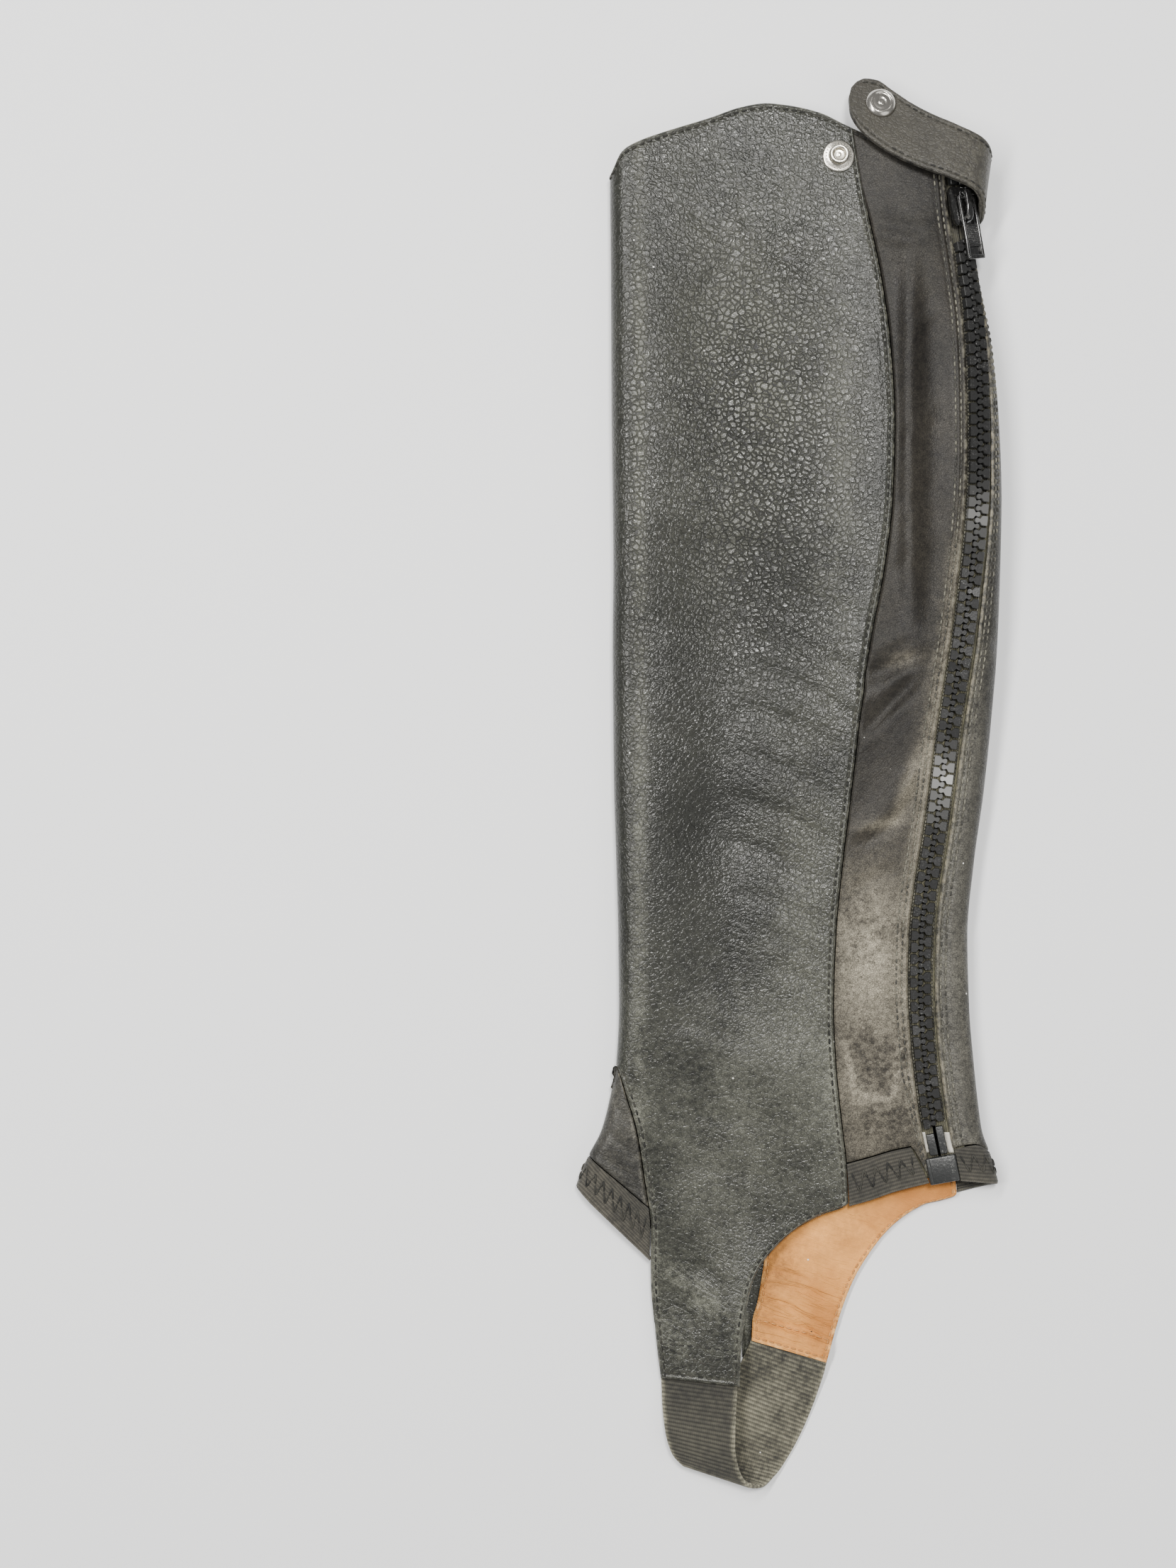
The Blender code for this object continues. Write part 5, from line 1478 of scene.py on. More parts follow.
    def sew(self, thread: Sewing, upper: Patch, fold: int, tongues: list[Patch]) -> None:
        """Rows of stitches 2 mm inside every sewn edge of the panel."""
        front, rear = tongues
        points, normals = upper.line(Side.RIGHT, self.row_inset)
        low_points, low_normals = front.line(Side.RIGHT, self.row_inset)
        points = np.concatenate([low_points[:0:-1], points])
        normals = np.concatenate([low_normals[:0:-1], normals])
        thread.row(points, normals)
        thread.beside(upper, Side.HIGH, self.row_inset, slice(fold, -3))
        thread.beside(upper, Side.HIGH, self.row_inset, slice(4, fold))
        for patch, side in ((upper, Side.LEFT), (front, Side.LEFT), (rear, Side.LEFT), (rear, Side.RIGHT)):
            thread.beside(patch, side, self.row_inset)
        for inset in self.box_rows:
            thread.beside(front, Side.HIGH, inset, slice(6, -6))
        self.cross(thread, front)

    def cross(self, thread: Sewing, front: Patch) -> None:
        """The stitched cross of the box at the front tongue's end."""
        low, normals = front.line(Side.HIGH, self.cross_rows[0])
        high = front.line(Side.HIGH, self.cross_rows[1])[0]
        share = np.linspace(self.cross_margin, 1.0 - self.cross_margin, 40)
        place = share * (len(low) - 1)
        index = np.arange(len(low))
        low, high, normals = (read_along(index, values, place) for values in (low, high, normals))
        for turn in (share, share[::-1]):
            climb = (turn - self.cross_margin) / (1.0 - 2.0 * self.cross_margin)
            thread.row(low + (high - low) * climb[:, None], normals)


@dataclass
class StretchPanel:
    """The softer panel between the main seam and the zip, and the elastic on its hem."""

    rows: int = 210
    columns: int = 34
    seam_gap: float = 0.35
    # By the top hem the panel runs under the main one, so no floor shows between them.
    top_tuck: float = 1.1
    # The facing beside the zip narrows to a point over the hem's elastic.
    wedge: float = 4.6
    wedge_drop: float = 13.0
    flat: tuple[float, float] = (0.036, 0.425)
    flat_area: float = 0.0118
    binding_flat: tuple[float, float] = (0.035, 0.018)

    def distance(self, y: Array, share: Array, near: float) -> Array:
        """Distance between the main seam and a line beside the middle of the zip."""
        tuck = self.top_tuck * smooth_step((y - 392.0) / 16.0)
        left = SKIN.front(y, main_seam_x(y)) + self.seam_gap - tuck
        return left + (zip_distance(y) - near - left) * share

    def hem(self, table: Curve, share: Array, near: float, start: float) -> Array:
        """Heights at which columns at shares of the way across meet a hem."""
        y = np.full(np.shape(share), start)
        for _ in range(5):
            y = table(SKIN.point(y, self.distance(y, share, near))[..., 0])
        return y

    def build(self, thread: Sewing, zip_thread: Sewing) -> None:
        """Weaves the panel and its hem's elastic, and sews them.

        Args:
            thread: The sewing of its hem.
            zip_thread: The dusty sewing beside the zip.
        """
        near = CHAIN_WIDTH / 2.0 + LEFT_EDGE_GAP
        rows = LOW_ROW + (TOP_ROW - LOW_ROW) * edged_shares(self.rows, TOP_ROW - LOW_ROW)
        share = edged_shares(self.columns, 34.0)
        y, share_grid = np.meshgrid(rows, share, indexing="ij")
        x = SKIN.point(y, self.distance(y, share_grid, near))[..., 0]
        low = self.hem(x_to_y(STRETCH_HEM_TOP), share_grid, near, LOW_ROW) + 0.5
        from_zip = (1.0 - share_grid) * (zip_x(LOW_ROW) - near - main_seam_x(LOW_ROW))
        low = low - self.wedge_drop * np.clip((self.wedge + 0.9 - from_zip) / self.wedge, 0.0, 1.0)
        y = fan(fan(y, TOP_FAN, TOP_ROW, outer_top_y(x)), LOW_FAN, LOW_ROW, low)
        patch = Patch(SKIN.point(y, self.distance(y, share_grid, near)))
        seam = patch.reach[Side.LEFT]
        by_zip = patch.reach[Side.RIGHT]
        relief = crease_relief(STRETCH_CREASES, patch.x, patch.y)
        relief += -0.55 * bell(seam, 0.6) - 0.5 * bell(by_zip, 0.5)
        relief += 0.3 * bell(by_zip, 0.6, 1.0) + furrow(by_zip, 2.5) + furrow(by_zip, 4.7)
        relief += 0.14 * bell(by_zip, 0.7, 3.6)
        relief += turned_edge(patch.reach[Side.HIGH])
        by_hem = patch.reach[Side.LOW]
        relief -= 0.4 * bell(by_hem, 0.5)
        # The dust mask here also carries painted highlights on the panel's ridges.
        dust = blob_mask(STRETCH_DUST_AND_HIGHLIGHTS, patch.x, patch.y)
        strip = 0.36 * bell(by_zip, 4.4) * smooth_step((300.0 - patch.y) / 80.0)
        piece = woven("stretch_panel_leather", patch, relief, {
            "edge": np.minimum(by_zip, patch.reach[Side.HIGH]),
            "pebble": 0.12,
            "crease": 0.15 + 0.16 * smooth_step((240.0 - patch.y) / 80.0),
            "dust": np.clip(0.06 + dust + strip, 0.0, 1.0),
        }, STRETCH_LEATHER, LEATHER)
        for inset in (2.5, 4.7):
            zip_thread.beside(patch, Side.RIGHT, inset, pitch=2.9)
        thread.beside(patch, Side.HIGH, 2.0)
        dress(piece, "stretch_leather", "stretch_panel")
        self.build_binding(thread)

    def build_binding(self, thread: Sewing) -> None:
        """Weaves the ribbed elastic on the panel's hem, with its zigzag stitch."""
        share, step = np.meshgrid(edged_shares(60, 34.0), edged_shares(22, 17.0), indexing="xy")
        near = BOX_WIDTH / 2.0 + 0.3 + self.wedge * step
        low = self.hem(x_to_y(STRETCH_HEM_LOW), share, near, 0.0)
        top = self.hem(x_to_y(STRETCH_HEM_TOP), share, near, LOW_ROW)
        y = low + (top - low) * step
        patch = Patch(SKIN.point(y, self.distance(y, share, near)))
        elastic_band("stretch_binding", patch, thread, (1.6, 5.4), self.binding_flat)


def elastic_band(
    node: str, patch: Patch, thread: Sewing, zigzag: tuple[float, float], flat: tuple[float, float],
    dust: float = 0.3,
) -> None:
    """Makes a band of ribbed elastic folded over a hem, with a zigzag stitch along it.

    Args:
        node: The solid that it replaces.
        patch: Its outer side, first row at the hem.
        thread: The sewing that its zigzag goes into.
        zigzag: How far from the ends the zigzag starts, and from one peak to the next.
        flat: Its flat width and length in metres; not used.
        dust: How dusty it is.
    """
    hem = patch.reach[Side.LOW]
    relief = -0.6 * bell(hem, 0.6) - 0.35 * bell(patch.reach[Side.HIGH], 0.4)
    relief += 0.05 * np.sin(math.tau * hem / 1.1)
    piece = woven(f"{node}_elastic", patch, relief, {
        "along": patch.reach[Side.LEFT], "across": hem,
        "dust": np.clip(dust + 0.3 * bell(hem, 1.5), 0.0, 1.0),
    }, HEM_ELASTIC, 1.5)
    margin, step = zigzag
    rows, columns = hem.shape
    along = patch.reach[Side.LEFT][rows // 2]
    count = max(int((along[-1] - 2.0 * margin) / (step / 2.0)), 2)
    run = (along[-1] - 2.0 * margin) / count
    for i in range(count):
        share = np.linspace(0.0, 1.0, 9)
        up = share if i % 2 else 1.0 - share
        column = np.interp(margin + (i + share) * run, along, np.arange(columns))
        climb = 0.28 + 0.5 * up
        level = np.array([
            np.interp(rise * hem[-1, int(j)], hem[:, int(j)], np.arange(rows))
            for rise, j in zip(climb, column)
        ])
        points, normals = patch.at(level, column)
        length = float(np.linalg.norm(np.diff(points, axis=0), axis=1).sum())
        thread.row(points, normals, pitch=length / 2.01, share=0.96, radius=0.34, lift=0.32)
    dress(piece, "ribbed_elastic", node)


@dataclass
class BackPanel:
    """The strip from the zip round the back fold to the rear seam, and its hem's elastic."""

    rows: int = 200
    columns: int = 34
    flat: tuple[float, float] = (0.052, 0.412)
    flat_area: float = 0.0165
    binding_flat: tuple[float, float] = (0.042, 0.016)

    def distance(self, y: Array, share: Array, near: float) -> Array:
        """Distance from near the zip round to the rear seam."""
        start = zip_distance(y) + near
        return start + (SKIN.behind(y, rear_seam_x(y)) - 0.3 - start) * share

    def build(self, thread: Sewing, zip_thread: Sewing) -> None:
        """Weaves the strip and its hem's elastic, and sews them.

        Args:
            thread: The sewing of its hems.
            zip_thread: The dusty sewing beside the zip.
        """
        near = CHAIN_WIDTH / 2.0 + RIGHT_EDGE_GAP
        rows = LOW_ROW + (TOP_ROW - LOW_ROW) * edged_shares(self.rows, TOP_ROW - LOW_ROW)
        y, share = np.meshgrid(rows, edged_shares(self.columns, 38.0), indexing="ij")
        x = SKIN.point(y, self.distance(y, share, near))[..., 0]
        hem = np.where(share < 0.5, outer_top_y(x), inner_top_y(x))
        hem_top = Curve([row.share for row in BACK_HEM], [row.top for row in BACK_HEM])
        y = fan(fan(y, TOP_FAN, TOP_ROW, hem), LOW_FAN, LOW_ROW, hem_top(share) + 0.5)
        patch = Patch(SKIN.point(y, self.distance(y, share, near)))
        by_zip = patch.reach[Side.LEFT]
        seam = patch.reach[Side.RIGHT]
        relief = crease_relief(BACK_CREASES, patch.x, patch.y) * smooth_step(patch.normals[..., 2] / 0.5)
        relief += -0.5 * bell(by_zip, 0.5) - 0.5 * bell(seam, 0.6)
        relief += 0.3 * bell(by_zip, 0.6, 0.9) + furrow(by_zip, 2.3) + furrow(by_zip, 4.3)
        relief += turned_edge(patch.reach[Side.HIGH]) - 0.4 * bell(patch.reach[Side.LOW], 0.5)
        strip = 0.22 * bell(by_zip, 4.4) * smooth_step((330.0 - patch.y) / 100.0)
        piece = woven("back_panel_leather", patch, relief, {
            "edge": np.minimum(by_zip, patch.reach[Side.HIGH]),
            "pebble": 0.12,
            "crease": 0.35,
            "dust": np.clip(0.05 + blob_mask(BACK_DUST, patch.x, patch.y) + strip, 0.0, 1.0),
        }, BACK_LEATHER, LEATHER)
        for inset in (2.3, 4.3):
            zip_thread.beside(patch, Side.LEFT, inset, pitch=2.9)
        thread.beside(patch, Side.HIGH, 2.0)
        dress(piece, "back_leather", "back_panel")
        near = BOX_WIDTH / 2.0 + 0.3
        share, step = np.meshgrid(edged_shares(66, 42.0), edged_shares(20, 14.0), indexing="xy")
        hem_low = Curve([row.share for row in BACK_HEM], [row.low for row in BACK_HEM])
        y = hem_low(share) + (hem_top(share) - hem_low(share)) * step
        band = Patch(SKIN.point(y, self.distance(y, share, near)))
        elastic_band("back_binding", band, thread, (1.6, 5.0), self.binding_flat)


@dataclass
class AnkleGusset:
    """The piece that wraps the shin fold over the instep, and the elastic round its hem."""

    first: float = 0.015
    binding_at: float = 0.735
    seam_gap: float = 0.6
    bunching: float = 1.7
    flat: tuple[float, float] = (0.05, 0.045)
    flat_area: float = 0.00125
    binding_flat: tuple[float, float] = (0.075, 0.018)

    def rows(self, shares: Array, columns: int) -> Array:
        """Rows across the gusset, from its rear seam round the fold to its front seam."""
        fold = outline(GUSSET_FOLD)(shares)
        here = SKIN.section(fold[:, 1])
        middle = np.stack([here.shin_x, fold[:, 1], here.shin_top / 2.0], axis=1)[:, None]
        part = (np.linspace(0.0, 1.0, columns + 1)[1:] ** self.bunching)[None, :, None]
        sides = []
        for seam, height in ((GUSSET_REAR_SEAM, SKIN.rear_height), (GUSSET_FRONT_SEAM, SKIN.front_height)):
            run = outline(seam)(shares) - fold
            length = np.maximum(np.linalg.norm(run, axis=1, keepdims=True), 0.01)
            run = run * np.maximum(1.0 - self.seam_gap / length, 0.3)
            plan = fold[:, None] + run[:, None] * part
            z = height(plan[..., 0], plan[..., 1])
            sides.append(np.concatenate([plan, z[..., None]], axis=-1))
        return np.concatenate([sides[0][:, ::-1], middle, sides[1]], axis=1)[::-1]

    def build(self, thread: Sewing) -> None:
        """Weaves the gusset and its hem's elastic.

        Args:
            thread: The sewing of its hem.
        """
        shares = self.first + (self.binding_at - 0.008 - self.first) * edged_shares(34, 40.0)
        patch = Patch(self.rows(shares, 26))
        edge = patch.edge(Side.LEFT, Side.RIGHT)
        relief = crease_relief(GUSSET_CREASES, patch.x, patch.y) * smooth_step(patch.normals[..., 2] / 0.5)
        sunk = smooth_step((44.0 - patch.y) / 8.0)
        relief -= 0.5 * bell(edge, 0.6) * sunk + 0.3 * bell(patch.reach[Side.LOW], 0.5)
        relief = np.where(patch.points[..., 2] < 1.0, np.minimum(relief, 0.0), relief)
        strip = bell(edge, 0.9, 1.6) * smooth_step((30.0 - patch.y) / 12.0)
        piece = woven("ankle_gusset_leather", patch, relief, {
            "edge": edge + 1.0, "pebble": 0.2, "crease": 0.3,
            "dust": np.clip(0.1 + blob_mask(GUSSET_DUST, patch.x, patch.y) + strip, 0.0, 1.0),
        }, BACK_LEATHER, LEATHER)
        dress(piece, "gusset_leather", "ankle_gusset")
        shares = self.binding_at + (1.0 - self.binding_at) * edged_shares(18, 18.0)
        band = Patch(self.rows(shares, 40))
        elastic_band("gusset_binding", band, thread, (2.4, 4.8), self.binding_flat, 0.42)


@dataclass
class Zip:
    """The tapes, two rows of moulded teeth, and the separable end."""

    pitch: float = 4.8
    first: float = 23.6
    last: float = 387.2
    tape_width: float = 11.0
    tape_inner: float = 0.6
    tape_low: float = 0.6
    tape_high: float = 412.0
    tape_flat: tuple[float, float] = (0.0104, 0.412)
    seed: int = 11
    film_seeds: tuple[int, int] = (5, 6)
    tilt: float = 0.03
    unevenness: float = 0.05
    # Painted glints on the teeth, standing in for their highlights: the middle's height, the reach along
    # the zip and how bright.
    worn: tuple[tuple[float, float, float], ...] = ((162.0, 10.0, 0.85), (270.0, 9.0, 0.36))
    # Half a tooth's outline: how far from the zip's middle, and half its width along the zip.
    tooth: tuple[tuple[float, float], ...] = (
        (-4.2, 1.75), (-3.95, 1.98), (-2.1, 1.98), (-1.75, 1.7), (-1.2, 0.86), (-0.75, 0.72),
        (-0.35, 0.95), (0.1, 1.12), (0.6, 1.0), (0.95, 0.55), (1.02, 0.0),
    )

    @staticmethod
    def line() -> tuple[Array, Array]:
        """Heights along the middle of the zip, and its length up to each."""
        y = np.arange(-6.0, 425.0, 0.5)
        points = SKIN.point(y, zip_distance(y))
        return y, lengths_along(points)

    @staticmethod
    def frames(y: Array) -> tuple[Array, Array, Array, Array]:
        """Where the middle of the zip is, and the directions across, along and out of it."""
        origin, before, after = (SKIN.point(at, zip_distance(at)) for at in (y, y - 5.0, y + 5.0))
        along = unit(after - before)
        across = unit(np.cross(along, SKIN.normal(y, zip_distance(y))))
        return origin, across, along, np.cross(across, along)

    def tooth_mesh(self) -> tuple[Array, list[tuple[int, ...]]]:
        """One tooth about the zip's middle, its head towards +x."""
        half = np.array(self.tooth)
        ring = np.concatenate([half, half[-2::-1] * (1.0, -1.0)])
        middle = ring.mean(axis=0)
        inner = ring + unit(middle - ring) * 0.22
        low = CHAIN_PROUD - CHAIN_THICKNESS
        levels = ((ring, low), (ring, CHAIN_PROUD - 0.25), (inner, CHAIN_PROUD))
        points = np.concatenate([
            np.column_stack([shape, np.full(len(ring), height)]) for shape, height in levels
        ])
        count = len(ring)
        faces: list[tuple[int, ...]] = [tuple(range(2 * count, 3 * count))[::-1]]
        for level in range(2):
            for i in range(count):
                here, after = (level * count + number for number in (i, (i + 1) % count))
                faces.append((here, count + here, count + after, after))
        return points, faces

    def build_teeth(self) -> None:
        """Sets both rows of teeth along the zip, each a little uneven."""
        y, lengths = self.line()
        start = np.interp(self.first, y, lengths)
        end = np.interp(self.last, y, lengths)
        count = int((end - start) / self.pitch)
        tooth, faces = self.tooth_mesh()
        random = np.random.default_rng(self.seed)
        corners = []
        all_faces: list[tuple[int, ...]] = []
        tones = []
        for row, side in enumerate((1.0, -1.0)):
            place = start + (np.arange(count) + 0.5 * row) * self.pitch
            height = np.interp(place, lengths, y)
            origin, across, along, out = self.frames(height)
            # Painted glints: a pale tone on teeth in these bands stands in for their highlights.
            bright = sum(amount * bell(height, reach, middle) for middle, reach, amount in self.worn)
            for i in range(count):
                tilt = random.normal(0.0, self.tilt)
                shaped = tooth * (side, 1.0, 1.0)
                local = shaped[:, 0:1] * across[i] + shaped[:, 1:2] * (along[i] + out[i] * tilt)
                proud = random.normal(0.0, self.unevenness)
                local = local + shaped[:, 2:3] * out[i] + origin[i] + out[i] * proud
                base = len(corners) * len(tooth)
                corners.append(local)
                for face in faces:
                    numbers = tuple(base + number for number in face)
                    all_faces.append(numbers if side > 0.0 else numbers[::-1])
                tones.append(np.full(len(tooth), np.clip(bright[i] * random.uniform(0.3, 1.2), 0.0, 1.0)))
        piece = mesh_piece("zip_teeth_moulded", np.concatenate(corners), all_faces, TEETH)
        piece.data.set_sharp_from_angle(angle=math.radians(30.0))
        keep_values(piece, "tone", tones)
        dress(piece, "moulded_plastic", "zip_chain")

    def strip(self, heights: Array, left: float, right: float, proud: float, columns: int) -> Patch:
        """A band that follows the middle of the zip on the skin."""
        y, share = np.meshgrid(heights, np.linspace(0.0, 1.0, columns + 1), indexing="ij")
        distance = zip_distance(y) + left + (right - left) * share
        return Patch(SKIN.point(y, distance) + proud * SKIN.normal(y, distance))

    def build_tapes(self) -> None:
        """Weaves both tapes."""
        heights = np.linspace(self.tape_low, self.tape_high, 260)
        for name, left, right in (
            ("left", -self.tape_width, -self.tape_inner), ("right", self.tape_inner, self.tape_width),
        ):
            patch = self.strip(heights, left, right, -TAPE_DEPTH, 12)
            fade = smooth_step((330.0 - patch.y) / 120.0)
            piece = woven(f"zip_tape_{name}_woven", patch, 0.0, {
                "along": patch.reach[Side.LOW], "across": patch.reach[Side.LEFT], "dust": 0.35 + 0.4 * fade,
            }, TAPE, 0.9)
            dress(piece, "zip_tape", f"zip_tape_{name}")

    def build_cores(self, thread: Sewing) -> None:
        """The raised cord at each tape's edge, and the seam thread beside it."""
        heights = np.linspace(self.first, self.last, 240)
        for place in (-(CHAIN_WIDTH / 2.0 + 0.45), CHAIN_WIDTH / 2.0 + 0.55):
            patch = self.strip(heights, place, place + 0.02, -TAPE_DEPTH + 0.35, 1)
            thread.row(patch.points[:, 0], patch.normals[:, 0], pitch=1.5, share=0.95, radius=0.34)

    def build_end(self) -> None:
        """The box, pin, post and the worn film of the separable end, and the top stops."""
        rounded_block("zip_box_rim", 4.6, (-5.2, 0.0, 0.75), (1.5, 10.6, 1.2), 0.4)
        for node, y, middle, size, bevel in (
            ("zip_box", 4.6, (0.0, 0.0, -0.35), (BOX_WIDTH, 11.0, 2.9), 0.7),
            ("zip_post", 15.2, (-2.15, 0.0, -0.45), (3.3, 8.8, 2.5), 0.35),
            ("zip_pin", 16.4, (2.0, 0.0, -0.4), (3.0, 11.4, 2.5), 0.35),
            ("zip_stop_left", 408.2, (-2.0, 0.0, -0.45), (3.2, 3.7, 2.5), 0.5),
            ("zip_stop_right", 408.2, (2.0, 0.0, -0.45), (3.2, 3.7, 2.5), 0.5),
        ):
            rounded_block(f"{node}_moulded", y, middle, size, bevel, node)
        films = (("left", -6.3, -4.0), ("right", 3.7, 6.2))
        for (name, left, right), seed in zip(films, self.film_seeds):
            patch = self.strip(np.linspace(11.2, 19.6, 12), left, right, -TAPE_DEPTH + 0.5, 4)
            random = np.random.default_rng(seed)
            patch.points += random.normal(0.0, self.unevenness, patch.points.shape)
            dress(woven(f"zip_film_{name}", patch, 0.0, {"tone": 0.0}, FILM, 0.3), "zip_tape")

    def build(self, thread: Sewing) -> None:
        """Builds the whole zip but its slider."""
        self.build_teeth()
        self.build_tapes()
        self.build_cores(thread)
        self.build_end()


def frame_matrix(origin: Array, across: Array, along: Array, out: Array) -> Matrix:
    """A placing matrix in metres from a point in garment millimetres and three directions."""
    matrix = Matrix.Identity(4)
    for index, direction in enumerate((across, along, out)):
        matrix.col[index] = (*direction, 0.0)
    matrix.col[3] = (*((np.asarray(origin) + SHIFT) * MM), 1.0)
    return matrix


def baked_piece(
    name: str, surface: bmesh.types.BMesh, matrix: Matrix, finish: Material, angle: float = 35.0,
) -> Piece:
    """Makes an object from a bmesh in local millimetres, with its place in its mesh.

    Args:
        name: The piece's name.
        surface: The bmesh, freed here.
        matrix: Its place in the model.
        finish: Its material.
        angle: Edges sharper than this, in degrees, stay sharp.

    Returns:
        The object.
    """
    mesh = bpy.data.meshes.new(name)
    bmesh.ops.transform(surface, matrix=matrix @ Matrix.Scale(MM, 4), verts=surface.verts)
    bmesh.ops.recalc_face_normals(surface, faces=surface.faces)
    surface.to_mesh(mesh)
    surface.free()
    mesh.shade_smooth()
    mesh.set_sharp_from_angle(angle=math.radians(angle))
    mesh.materials.append(finish)
    piece = bpy.data.objects.new(name, mesh)
    bpy.context.scene.collection.objects.link(piece)
    return piece


def add_block(
    surface: bmesh.types.BMesh, middle: Sequence[float], size: Sequence[float], bevel: float,
    segments: int = 3,
) -> None:
    """Adds a box with rounded edges to a bmesh.

    Args:
        surface: The bmesh in millimetres.
        middle: The box's middle.
        size: Its three sizes.
        bevel: How far its edges are rounded.
        segments: Steps in each rounding.
    """
    made = bmesh.ops.create_cube(surface, size=1.0)
    for vertex in made["verts"]:
        vertex.co = Vector(middle[i] + vertex.co[i] * size[i] for i in range(3))
    edges = list({edge for vertex in made["verts"] for edge in vertex.link_edges})
    bmesh.ops.bevel(surface, geom=edges, offset=bevel, segments=segments, profile=0.5, affect="EDGES")


def rounded_block(
    name: str, y: float, middle: Sequence[float], size: Sequence[float], bevel: float,
    node: str | None = None,
) -> None:
    """A rounded block of moulded plastic in the zip's own frame at height y."""
    surface = bmesh.new()
    add_block(surface, middle, size, bevel)
    origin, across, along, out = (part[0] for part in Zip.frames(np.array([y])))
    piece = baked_piece(name, surface, frame_matrix(origin, across, along, out), MOULDED)
    dress(piece, "moulded_plastic", node)


def add_prism(
    surface: bmesh.types.BMesh, points: Sequence[Sequence[float]], low: float, high: float,
    bevel: float, axes: tuple[int, int, int] = (0, 1, 2),
) -> None:
    """Adds a prism with rounded rims to a bmesh.

    Args:
        surface: The bmesh in millimetres.
        points: Its outline.
        low: Where its first face lies.
        high: Where its second face lies.
        bevel: How far its rims are rounded.
        axes: Which axes the outline's two values and the height go to.
    """
    def corner(point: Sequence[float], height: float) -> Vector:
        place = [0.0, 0.0, 0.0]
        for axis, value in zip(axes, (*point, height)):
            place[axis] = value
        return Vector(place)

    base = [surface.verts.new(corner(point, low)) for point in points]
    top = [surface.verts.new(corner(point, high)) for point in points]
    caps = [surface.faces.new(base[::-1]), surface.faces.new(top)]
    count = len(points)
    for i in range(count):
        surface.faces.new((base[i], base[(i + 1) % count], top[(i + 1) % count], top[i]))
    rims = list({edge for cap in caps for edge in cap.edges})
    bmesh.ops.bevel(surface, geom=rims, offset=bevel, segments=2, profile=0.5, affect="EDGES")


@dataclass
class ZipSlider:
    """The slider's body with its bridge, and the pull tab that hangs from it."""

    at: float = 397.0
    width: float = 12.4
    length: float = 15.8
    low: float = 0.7
    top: float = 3.5
    pivot: float = 3.4
    pivot_height: float = 4.9
    skew: float = 5.0
    pull_width: float = 8.2
    pull_length: float = 25.6

    def frame(self) -> tuple[Array, Array, Array, Array]:
        """The zip's frame at the slider."""
        return tuple(part[0] for part in Zip.frames(np.array([self.at])))

    def build_body(self) -> None:
        """The body: two wings over the teeth, and the arched bridge on a base."""
        surface = bmesh.new()
        half, reach = self.width / 2.0, self.length / 2.0
        body = (
            (-half, reach - 1.0), (-half + 1.0, reach), (-1.2, reach), (0.0, reach - 1.2), (1.2, reach),
            (half - 1.0, reach), (half, reach - 1.0), (half - 0.2, -1.0), (half - 1.4, -reach + 1.0),
            (half - 2.2, -reach), (-half + 2.2, -reach), (-half + 1.4, -reach + 1.0), (-half + 0.2, -1.0),
        )
        add_prism(surface, body[::-1], self.low, self.top, 0.5)
        add_block(surface, (0.0, 0.0, 0.1), (CHAIN_WIDTH, self.length - 0.6, 2.4), 0.2)
        add_block(surface, (0.0, -0.4, self.top), (4.4, self.length - 3.0, 0.9), 0.35)
        bridge = (
            (6.6, 3.0), (6.6, 5.4), (6.0, 6.7), (4.8, 7.3), (0.0, 7.5), (-4.6, 7.2), (-6.2, 6.2),
            (-7.3, 3.0), (-6.0, 3.0), (-5.4, 5.1), (-4.2, 6.0), (0.0, 6.25), (4.2, 6.05), (5.1, 5.2),
            (5.2, 3.0),
        )
        add_prism(surface, bridge, -1.4, 1.4, 0.45, axes=(1, 2, 0))
        piece = baked_piece("zip_slider_cast", surface, frame_matrix(*self.frame()), ENAMEL)
        dress(piece, "slider_enamel", "zip_slider")

    def build_pull(self) -> None:
        """The tab: side rails, a bar on the pivot, a knurled field, and a slot above its lip."""
        origin, across, along, out = self.frame()
        swing = math.radians(self.skew)
        axis = across * math.cos(swing) + along * math.sin(swing)
        up_tab = along * math.cos(swing) - across * math.sin(swing)
        pivot = origin + along * self.pivot + out * self.pivot_height
        half = self.pull_width / 2.0
        surface = bmesh.new()
        length = self.pull_length + 0.8
        middle = 0.8 - length / 2.0
        for side in (-1.0, 1.0):
            add_block(surface, (side * (half - 0.65), middle, 0.0), (1.3, length, 1.6), 0.5)
        # The bar on the pivot, the field, the slot's floor, the two cross rails and the lip.
        for y, z, less, long, thick, bevel in (
            (0.0, 0.0, 1.0, 1.3, 1.3, 0.45), (-15.8, -0.2, 1.8, 9.4, 0.9, 0.25),
            (-22.5, -0.5, 1.8, 5.6, 0.4, 0.1), (-11.9, 0.05, 1.8, 1.3, 1.2, 0.4),
            (-19.9, 0.05, 1.8, 1.1, 1.2, 0.4), (0.9 - self.pull_length, 0.05, 1.0, 1.8, 1.7, 0.55),
        ):
            add_block(surface, (0.0, y, z), (self.pull_width - less, long, thick), bevel)
        for row in range(9):
            for column in range(8):
                x = (column - 3.5) * 0.76 + (0.19 if row % 2 else -0.19)
                add_block(surface, (x, -12.9 - row * 0.76, 0.28), (0.5, 0.5, 0.35), 0.14, 1)
        piece = baked_piece("zip_pull_tab", surface, frame_matrix(pivot, axis, up_tab, out), ENAMEL)
        dress(piece, "slider_enamel", "zip_pull", PULL_TAB)

    def build(self) -> None:
        """Builds both pieces."""
        self.build_body()
        self.build_pull()


class Rung(NamedTuple):
    """The middle of a band's thickness at its two edges."""

    x0: float
    y0: float
    z0: float
    x1: float
    y1: float
    z1: float


